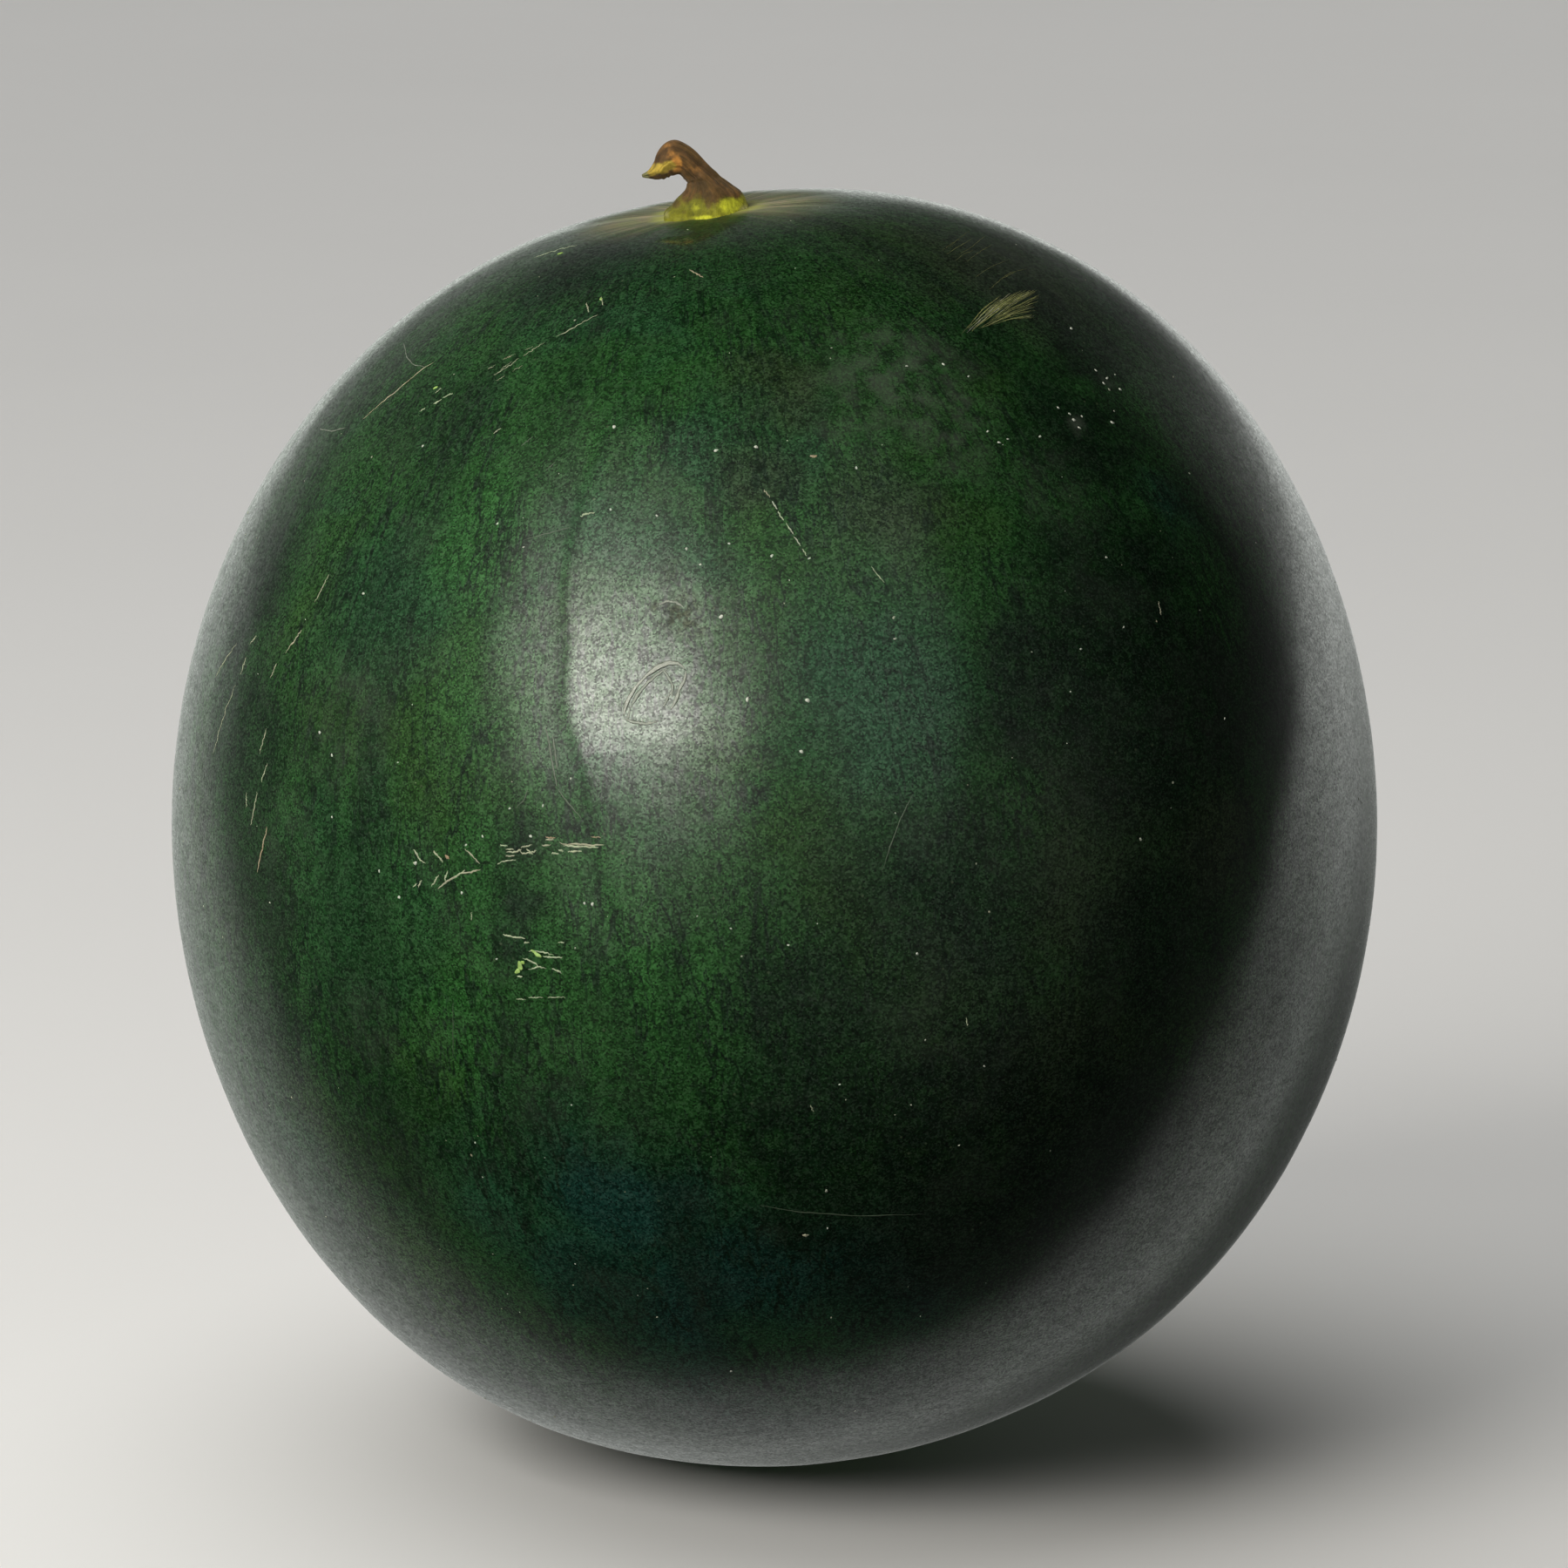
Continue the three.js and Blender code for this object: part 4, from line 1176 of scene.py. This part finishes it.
class WATERMELON_OT_stub(bpy.types.Operator):
    """The dried, torn stub of the stem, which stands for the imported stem"""

    bl_idname = "watermelon.stub"
    bl_label = "Stub"

    def execute(self, context):
        shape = context.scene.melon_shape
        points, (length, angle, crease) = stub_points(shape)
        offset = (points - skin_point(STEM_WAY, shape, False)) / MM
        bearing = np.arctan2(offset[..., 1], offset[..., 0])
        front = rise(-offset[..., 1], -0.5, 1.0)
        lobe_top = LOBE_TOP + LOBE_SWING * np.cos(FOOT_LOBES * (bearing + LOBE_TURN))
        sap = (length < 0.5) * (1 - rise(offset[..., 2] - lobe_top, -1.6, 1.4))
        seen = framed(points, shape)
        masks = {name: np.zeros(length.shape) for name in ("warm", "umber", "gold", "lemon", "stain", "husk")}
        for name, x, y, across, down, strength in STUB_PATCHES:
            gap = (((seen - (x, y)) / (across, down)) ** 2).sum(axis=-1)
            masks[name] = np.maximum(masks[name], strength * np.exp(-gap) * front)
        masks["husk"] = np.maximum(masks["husk"], rise(length, 0.93, 0.985))
        course = np.stack([np.cos(angle), np.sin(angle), length], axis=-1)
        make_piece("stub", points, stub_material(context.scene.stub_finish), "stem", {
            "course": course, "crease": crease, "sap": sap, **masks})
        return {"FINISHED"}


class WATERMELON_OT_scratches(bpy.types.Operator):
    """Corky scratches, the brushed scuff and the fresh nicks on the skin"""

    bl_idname = "watermelon.scratches"
    bl_label = "Scratches"

    def execute(self, context):
        shape = context.scene.melon_shape
        rng = np.random.default_rng(SCRATCH_SEED)
        seen = framed_strokes(SCRATCHES, rng, shape)
        hidden = scattered_strokes(rng, HIDDEN_SCRATCHES)
        ways, widths, tones = (np.concatenate(pair) for pair in zip(seen, hidden))
        heights = np.minimum(SCRATCH_RISE * widths, SCRATCH_HEIGHT)
        points = stroke_points(ways, widths, heights, rng, shape)
        make_marks("scratches", points, cork_material("cork", *CORK), tones)

        ways, widths, tones = framed_strokes(scuff_strokes(rng) + list(FAINT_SCUFFS), rng, shape, 0.25)
        points = stroke_points(ways, widths, np.full(len(ways), SCUFF_HEIGHT), rng, shape)
        make_marks("scuff", points, cork_material("brushed_skin", *BRUSHED_SKIN), tones)

        ways = way_in_view(NICKS[:, :2], shape)
        radii, spin = NICKS[:, 2:4] * FRAME_UNIT, np.radians(NICKS[:, 4])
        points = dab_points(ways, radii, np.full(len(NICKS), NICK_HEIGHT), spin, rng, shape,
                            sides=12, rings=7)
        tones = rng.uniform(*NICK_TONES, len(NICKS))
        make_marks("nicks", points, cork_material("fresh_nick", *FRESH_CORK), tones)
        return {"FINISHED"}


class WATERMELON_OT_specks(bpy.types.Operator):
    """Pale specks scattered over the skin"""

    bl_idname = "watermelon.specks"
    bl_label = "Specks"

    def execute(self, context):
        shape = context.scene.melon_shape
        rng = np.random.default_rng(SPECK_SEED)
        placed = np.array(SPECKS, float)
        ways = scattered_ways(rng, shape.speck_count, SPECK_LIMITS)
        scattered = np.minimum(rng.exponential(SPECK_SPREAD, len(ways)) + SPECK_RADII[0], SPECK_RADII[1])
        radii = np.concatenate([SPECK_SHRINK * placed[:, 2], scattered]) * FRAME_UNIT
        ways = np.concatenate([way_in_view(placed[:, :2], shape), ways])
        radii = np.stack([radii, radii * rng.uniform(*SPECK_FLATTENING, len(radii))], axis=-1)
        spin = rng.uniform(*ANY_TURN, len(ways))
        points = dab_points(ways, radii, SPECK_RISE * radii[:, 0], spin, rng, shape)
        faint = rng.uniform(*MARK_TONES, len(ways) - len(placed))
        tones = np.concatenate([np.full(len(placed), BRIGHT_TONE), faint])
        make_marks("specks", points, cork_material("pale_speck", *SPECK_CORK), tones)
        return {"FINISHED"}


# Lines of healed skin, in the same terms as the scratches, with a tone from 0, green, to 1, pale. The high
# tones of the lines in the window's highlight paint a highlight onto their ridges.
HEALED_LINES = (
    (0.4, 6.0, 720, 828, 724, 812, 732, 797, 744, 783, 759, 771, 768, 767),
    (0.6, 7.5, 716, 824, 719, 808, 727, 792, 740, 777, 757, 765, 768, 761, 780, 762, 788, 770),
    (0.55, 7.0, 788, 769, 786, 780, 780, 791, 776, 804, 770, 815),
    (0.4, 5.0, 760, 767, 767, 777, 772, 787, 771, 802), (0.45, 6.0, 716, 825, 728, 829, 742, 831, 756, 828),
    (0.4, 4.4, 772, 792, 766, 802, 762, 812), (0.5, 5.0, 756, 694, 766, 690, 776, 691, 785, 697),
    (0.18, 4.4, 626, 834, 631, 856, 634, 878, 640, 905), (0.16, 4.0, 634, 842, 637, 862, 640, 884),
    (0.12, 2.6, 640, 905, 652, 922, 668, 940), (0.1, 2.2, 592, 928, 602, 918, 606, 905),
    (0.5, 2.4, 367, 492, 380, 495, 397, 491), (0.45, 2.0, 463, 393, 467, 410, 475, 419, 488, 421),
    (0.1, 2.0, 598, 512, 612, 501), (0.1, 2.0, 626, 540, 638, 530),
    (0.15, 1.9, 600, 620, 622, 614, 655, 605), (0.05, 2.0, 1048, 912, 1034, 940, 1022, 972, 1012, 1002),
    (0.0, 1.9, 870, 1384, 920, 1392, 990, 1396, 1062, 1394), (0.0, 1.8, 520, 1150, 520, 1215),
)


class WATERMELON_OT_healed_lines(bpy.types.Operator):
    """Low raised lines where the skin has healed"""

    bl_idname = "watermelon.healed_lines"
    bl_label = "Healed lines"

    def execute(self, context):
        shape = context.scene.melon_shape
        rng = np.random.default_rng(HEALED_SEED)
        ways, widths, tones = framed_strokes(HEALED_LINES, rng, shape, 0.3)
        points = stroke_points(ways, widths, np.full(len(ways), HEALED_HEIGHT), rng, shape)
        make_marks("healed_lines", points, healed_material(), tones)
        return {"FINISHED"}


class WATERMELON_OT_blossom_scar(bpy.types.Operator):
    """The corky scar that the blossom left, in its pit under the fruit"""

    bl_idname = "watermelon.blossom_scar"
    bl_label = "Blossom scar"

    def execute(self, context):
        shape = context.scene.melon_shape
        rng = np.random.default_rng(SCAR_SEED)
        radii = np.full((1, 2), SCAR_CORK_RADIUS)
        heights = np.full(1, SCAR_CORK_HEIGHT)
        points = dab_points(-STEM_WAY[None], radii, heights, np.zeros(1), rng, shape, sides=48, rings=13)
        make_marks("blossom_scar", points, cork_material("blossom_cork", *BLOSSOM_CORK), np.array([0.5]))
        return {"FINISHED"}


LAMP_DISTANCE = 1.5  # from the belt's middle to each soft light
# Each soft light's aim is its azimuth, from the camera's side to the right, and its elevation, in degrees.
SIDE_AIM = (-46.0, 31.0)
SIDE_SIZE = (0.9, 0.9)
FILL_AIM = (42.0, 28.0)
FILL_SIZE = (0.8, 0.8)
LAMP_COLOUR = (1.0, 0.98, 0.94)
# The window that the wax mirrors. Its face is turned by the roll, and its brightness is the sum of its panes,
# each the product of a profile across the face and a profile up it, by metres from the window's middle. Below
# the middle the panes lean over to the right by the bend.
WINDOW_AIM = (-28.5, 30.0)
WINDOW_ROLL = 16
WINDOW_SHIFT = (-0.25, 0.175)
WINDOW_SIZE = (2.2, 2.9)
WINDOW_COLOUR = (1.0, 0.96, 0.915)
WINDOW_PANES = (
    (((-0.362, 0), (-0.335, 1.0), (-0.2, 1.0), (-0.1, 0.86), (0.0, 0.78), (0.1, 0.75), (0.2, 0.57),
      (0.3, 0.33), (0.4, 0.17), (0.5, 0.11), (0.6, 0.06), (0.8, 0)),
     ((-1.2, 0.03), (-1.0, 0.045), (-0.8, 0.06), (-0.6, 0.08), (-0.5, 0.11), (-0.4, 0.19), (-0.3, 0.31),
      (-0.22, 0.63), (-0.15, 0.80), (-0.08, 0.93), (0.0, 1.0), (0.1, 0.87), (0.2, 0.75), (0.3, 0.60),
      (0.4, 0.37), (0.5, 0.24), (0.6, 0.17), (0.8, 0.10), (1.0, 0.07), (1.2, 0.05), (1.4, 0.03), (1.6, 0))),
    (((-0.34, 0), (-0.2, 0.45), (-0.1, 0.65), (0.0, 0.90), (0.1, 1.0), (0.2, 0.80), (0.3, 0.62), (0.4, 0.22),
      (0.5, 0.08), (0.6, 0)),
     ((-0.9, 0), (-0.7, 0.06), (-0.6, 0.10), (-0.5, 0.15), (-0.4, 0.23), (-0.3, 0.42), (-0.25, 0.56),
      (-0.2, 0.54), (-0.1, 0.26), (0.0, 0.08), (0.06, 0))),
    (((-1.15, 0.03), (-0.95, 0.08), (-0.85, 0.20), (-0.75, 0.50), (-0.65, 0.80), (-0.58, 0.92), (-0.44, 1.0),
      (-0.415, 0.7), (-0.39, 0)),
     ((-1.2, 0.03), (-1.0, 0.045), (-0.8, 0.05), (-0.5, 0.055), (-0.4, 0.08), (-0.3, 0.15), (-0.2, 0.20),
      (0.1, 0.27), (0.3, 0.26), (0.4, 0.21), (0.5, 0.17), (0.6, 0.14), (0.8, 0.10), (1.0, 0.07), (1.2, 0.05),
      (1.4, 0.03), (1.6, 0))),
)
WINDOW_BEND = (((-1.2, 1.0), (-0.6, 0.8), (-0.3, 0.45), (-0.1, 0.08), (0.0, 0)), 0.12)
# A dim, greenish veil over the middle of the front, in the same terms.
VEIL_AIM = (16.0, 32.0)
VEIL_SHIFT = (0.15, 0.25)
VEIL_SIZE = (1.1, 2.6)
VEIL_COLOUR = (0.78, 1.0, 0.84)
VEIL_RADIANCE = 0.66
VEIL_PANES = (
    (((-0.35, 0), (-0.2, 0.7), (0.0, 1.0), (0.35, 1.0), (0.48, 0.65), (0.60, 0)),
     ((-1.0, 0), (-0.7, 0.3), (-0.5, 0.7), (-0.2, 1.0), (0.1, 0.9), (0.5, 0.8), (0.9, 0.55), (1.3, 0.2),
      (1.5, 0))),
)
# The surround's brightness by direction: x to the right, y away from the camera, z up. Each edge list gives,
# from straight below to straight above, how far away from the camera the brightness begins.
SURROUND_EDGE_RIGHT = (
    (-1.0, 0.10), (-0.5, 0.10), (-0.3, 0.16), (-0.15, 0.30), (-0.07, 0.38), (0.05, 0.62), (0.2, 0.70),
    (0.4, 0.55), (0.6, 0.50), (1.0, 0.50),
)
SURROUND_EDGE_LEFT = (
    (-1.0, 0.24), (-0.7, 0.28), (-0.5, 0.33), (-0.3, 0.50), (-0.1, 0.76), (0.1, 0.81), (0.25, 0.83),
    (0.5, 0.68), (1.0, 0.63),
)
SURROUND_EASE = (0.14, 0.24)  # half of the edge's width, on the right and on the left
SURROUND_LEVELS = (
    (-1.0, 0.39), (-0.85, 0.51), (-0.6, 0.55), (-0.4, 0.50), (-0.28, 0.53), (-0.12, 0.77), (-0.03, 1.0),
    (0.05, 1.0), (0.10, 0.53), (0.16, 0.385), (0.25, 0.265), (0.35, 0.175), (0.45, 0.12), (0.58, 0.062),
    (0.75, 0.022), (1.0, 0.018),
)
SURROUND_COLOUR = (0.96, 1.0, 0.95)
# Darker corners of the surround: the way to each, the cosines where it starts and is full, and what is left.
SURROUND_CORNERS = (((0.33, 0.83, -0.46), 0.89, 1.0, 0.15), ((0.27, 0.87, 0.41), 0.93, 0.995, 0.40))
# Dim glows of the room: the aim of each, its strength, and the cosines at which it begins and is full.
ROOM_GLOWS = (((25.0, 10.0), 0.12, 0.52, 0.97), ((-115.0, 15.0), 0.12, 0.60, 0.98))
BACKDROP_STRENGTH = 0.8
OVERHEAD_SPREAD = math.radians(70)
OVERHEAD_TILT = (math.radians(-12), math.radians(-16), 0)
FLOOR_DROP = 0.05 * MM  # the floor lies this far below the fruit
FLOOR_CLOUD = 0.96  # the brightness that is left in the floor's faint clouds


class WATERMELON_OT_studio(bpy.types.Operator):
    """The camera, the soft lights, the pale surround and the floor"""

    bl_idname = "watermelon.studio"
    bl_label = "Studio"

    def execute(self, context):
        scene = context.scene
        shape, light = scene.melon_shape, scene.studio_light
        scene.view_settings.view_transform = "Standard"
        self.add_camera(scene, shape)
        self.add_surround(scene, light)
        self.add_floor(scene, light)
        window = self.add_softbox(shape, "window", WINDOW_AIM, WINDOW_SIZE, light.window_strength,
                                  WINDOW_COLOUR, WINDOW_ROLL, WINDOW_SHIFT, lights_skin=False)
        self.paint(window.data, WINDOW_SIZE, WINDOW_SHIFT, WINDOW_PANES, WINDOW_BEND)
        self.add_softbox(shape, "side", SIDE_AIM, SIDE_SIZE, light.side_strength, LAMP_COLOUR, mirrored=False)
        fill = self.add_softbox(shape, "fill", FILL_AIM, FILL_SIZE, light.fill_strength, LAMP_COLOUR,
                                mirrored=False)
        self.lights_only(fill, "stub")
        veil = self.add_softbox(shape, "veil", VEIL_AIM, VEIL_SIZE, VEIL_RADIANCE, VEIL_COLOUR, 0, VEIL_SHIFT,
                                lights_skin=False)
        self.paint(veil.data, VEIL_SIZE, VEIL_SHIFT, VEIL_PANES)
        self.add_overhead(scene, light)
        return {"FINISHED"}

    def add_camera(self, scene, shape):
        """A camera whose view is the frame's width across at the belt's middle."""
        data = bpy.data.cameras.new("camera")
        data.sensor_width = SENSOR_WIDTH
        data.lens = SENSOR_WIDTH * CAMERA_DISTANCE / FRAME_WIDTH
        data.clip_start, data.clip_end = 0.05, 60.0
        camera = bpy.data.objects.new("camera", data)
        turn = Matrix([VIEW_RIGHT, VIEW_UP, VIEW_BACK]).transposed().to_4x4()
        camera.matrix_world = Matrix.Translation(view_target(shape) + CAMERA_DISTANCE * VIEW_BACK) @ turn
        scene.collection.objects.link(camera)
        scene.camera = camera

    def add_softbox(self, shape, name, aim, size, radiance, colour, roll=0, shift=(0, 0), mirrored=True,
                    lights_skin=True):
        """A rectangular light that faces the fruit, shifted across and up its own face."""
        way = Vector(aimed(*aim))
        right = Vector((0, 0, 1)).cross(way).normalized()
        up = way.cross(right)
        r = math.radians(roll)
        right, up = right * math.cos(r) + up * math.sin(r), up * math.cos(r) - right * math.sin(r)
        seat = Vector((0, 0, belt_level(shape))) + way * LAMP_DISTANCE + right * shift[0] + up * shift[1]
        data = bpy.data.lights.new(name, "AREA")
        data.shape = "RECTANGLE"
        data.size, data.size_y = size
        data.color = colour
        data.energy = radiance * math.pi * size[0] * size[1]
        lamp = bpy.data.objects.new(name, data)
        turn = Matrix([right, up, way]).transposed().to_4x4()
        lamp.matrix_world = Matrix.Translation(seat) @ turn
        lamp.visible_camera = False
        lamp.visible_glossy = mirrored
        lamp.visible_diffuse = lights_skin
        bpy.context.scene.collection.objects.link(lamp)
        return lamp

    def paint(self, data, sizes, shifts, panes, bend=None):
        """Varies a light over its own face: the sum of its panes, each a profile across times a profile up.

        The bend is a profile up the face, and how many metres it shifts the panes to the right where it is 1.
        """
        f = Nodes(data)
        face = f.node("ShaderNodeNewGeometry", output="Parametric")
        places = [f.axis(face, axis) for axis in range(2)]
        if bend:
            stops, metres = bend
            lean = f.ramp(places[1], [((up - shifts[1]) / sizes[1] + 0.5, level) for up, level in stops])
            places[0] = f.math("SUBTRACT", places[0], f.product(lean, metres / sizes[0]))
        total = 0.0
        for pane in panes:
            levels = [f.ramp(place, [((metres - shift) / size + 0.5, level) for metres, level in stops])
                      for place, stops, shift, size in zip(places, pane, shifts, sizes)]
            total = f.math("ADD", total, f.product(*levels))
        glow = f.node("ShaderNodeEmission", {"Strength": total})
        f.node("ShaderNodeOutputLight", {"Surface": glow}, output=None)

    def add_overhead(self, scene, light):
        """A very soft light from above that falls on the floor alone."""
        data = bpy.data.lights.new("overhead", "SUN")
        data.energy = light.overhead_strength
        data.angle = OVERHEAD_SPREAD
        lamp = bpy.data.objects.new("overhead", data)
        lamp.rotation_euler = OVERHEAD_TILT
        lamp.visible_glossy = False
        scene.collection.objects.link(lamp)
        self.lights_only(lamp, "floor")

    def lights_only(self, lamp, name):
        """Lets a light fall on one object alone."""
        lit = bpy.data.collections.new("lit_by_" + lamp.name)
        lit.objects.link(bpy.data.objects[name])
        lamp.light_linking.receiver_collection = lit

    def add_surround(self, scene, light):
        """A pale surround behind the fruit and a dark one in front, and a plain backdrop for the camera."""
        world = bpy.data.worlds.new("surround")
        f = Nodes(world)
        way = f.node("ShaderNodeTexCoord", output="Generated")
        side, back, up = (f.axis(way, axis) for axis in range(3))
        height = f.math("MULTIPLY_ADD", up, 0.5, 0.5)
        on_right = f.between(side, -0.45, 0.15)
        edges = [f.ramp(height, [((z + 1) / 2, level) for z, level in stops])
                 for stops in (SURROUND_EDGE_LEFT, SURROUND_EDGE_RIGHT)]
        on_left = f.math("SUBTRACT", 1.0, on_right)
        edge = f.math("ADD", f.product(on_right, edges[1]), f.product(on_left, edges[0]))
        ease = f.between(on_right, 0.0, 1.0, SURROUND_EASE[1], SURROUND_EASE[0])
        total = f.between(back, f.math("SUBTRACT", edge, ease), f.math("ADD", edge, ease))
        total = f.product(total, f.ramp(height, [((z + 1) / 2, level) for z, level in SURROUND_LEVELS]))
        for corner, outer, inner, left in SURROUND_CORNERS:
            total = f.product(total, f.between(f.towards(way, corner), outer, inner, 1.0, left))
        total = f.product(total, light.surround_strength)
        for aim, strength, outer, inner in ROOM_GLOWS:
            total = f.math("ADD", total, f.between(f.towards(way, aimed(*aim)), outer, inner, 0.0, strength))
        pale = f.node("ShaderNodeBackground", {"Color": SURROUND_COLOUR, "Strength": total})
        plain = f.node("ShaderNodeBackground", {"Color": light.floor_colour, "Strength": BACKDROP_STRENGTH})
        seen = f.node("ShaderNodeLightPath", output="Is Camera Ray")
        shown = f.node("ShaderNodeMixShader", {0: seen, 1: pale, 2: plain})
        f.node("ShaderNodeOutputWorld", {"Surface": shown}, output=None)
        scene.world = world

    def add_floor(self, scene, light):
        """A plain square floor, a little below the fruit."""
        half = light.floor_size / 2
        corners = [(half * x, half * y, -FLOOR_DROP) for x, y in ((-1, -1), (1, -1), (1, 1), (-1, 1))]
        mesh = bpy.data.meshes.new("floor")
        mesh.from_pydata(corners, [], [(0, 1, 2, 3)])
        f = Finish("pale_floor")
        cloud = f.noise(f.place, 3.0, 3, 0.6)
        tint = tuple(FLOOR_CLOUD * part for part in light.floor_colour)
        f.set(Base_Color=f.mix(cloud, light.floor_colour, tint), Roughness=0.85, Specular_IOR_Level=0.2)
        mesh.materials.append(f.material)
        floor = bpy.data.objects.new("floor", mesh)
        floor.visible_glossy = False
        floor.visible_diffuse = False
        scene.collection.objects.link(floor)


class WATERMELON_PT_panel(bpy.types.Panel):
    """Lists the operators and the settings"""

    bl_idname = "WATERMELON_PT_panel"
    bl_label = "Watermelon"
    bl_space_type = "VIEW_3D"
    bl_region_type = "UI"
    bl_category = "Watermelon"

    def draw(self, context):
        for operator in OPERATORS:
            self.layout.operator(operator.bl_idname)
        for label in SETTINGS:
            group = getattr(context.scene, label)
            box = self.layout.box()
            for name in group.bl_rna.properties.keys():
                if name not in ("rna_type", "name"):
                    box.prop(group, name)


OPERATORS = (
    WATERMELON_OT_skin,
    WATERMELON_OT_stub,
    WATERMELON_OT_scratches,
    WATERMELON_OT_specks,
    WATERMELON_OT_healed_lines,
    WATERMELON_OT_blossom_scar,
    WATERMELON_OT_studio,
)
SETTINGS = {
    "melon_shape": MelonShape,
    "skin_finish": SkinFinish,
    "stub_finish": StubFinish,
    "studio_light": StudioLight,
}


def register():
    """Registers the settings, the operators and the panel."""
    for group in SETTINGS.values():
        bpy.utils.register_class(group)
    for cls in (*OPERATORS, WATERMELON_PT_panel):
        bpy.utils.register_class(cls)
    for label, group in SETTINGS.items():
        setattr(bpy.types.Scene, label, PointerProperty(type=group))


def unregister():
    """Takes back what register() did, in the opposite order."""
    for label in SETTINGS:
        delattr(bpy.types.Scene, label)
    for cls in (WATERMELON_PT_panel, *reversed(OPERATORS), *reversed(SETTINGS.values())):
        bpy.utils.unregister_class(cls)


def main():
    register()
    bpy.ops.watermelon.skin()
    bpy.ops.watermelon.stub()
    bpy.ops.watermelon.scratches()
    bpy.ops.watermelon.specks()
    bpy.ops.watermelon.healed_lines()
    bpy.ops.watermelon.blossom_scar()
    bpy.ops.watermelon.studio()


if __name__ == "__main__":
    main()
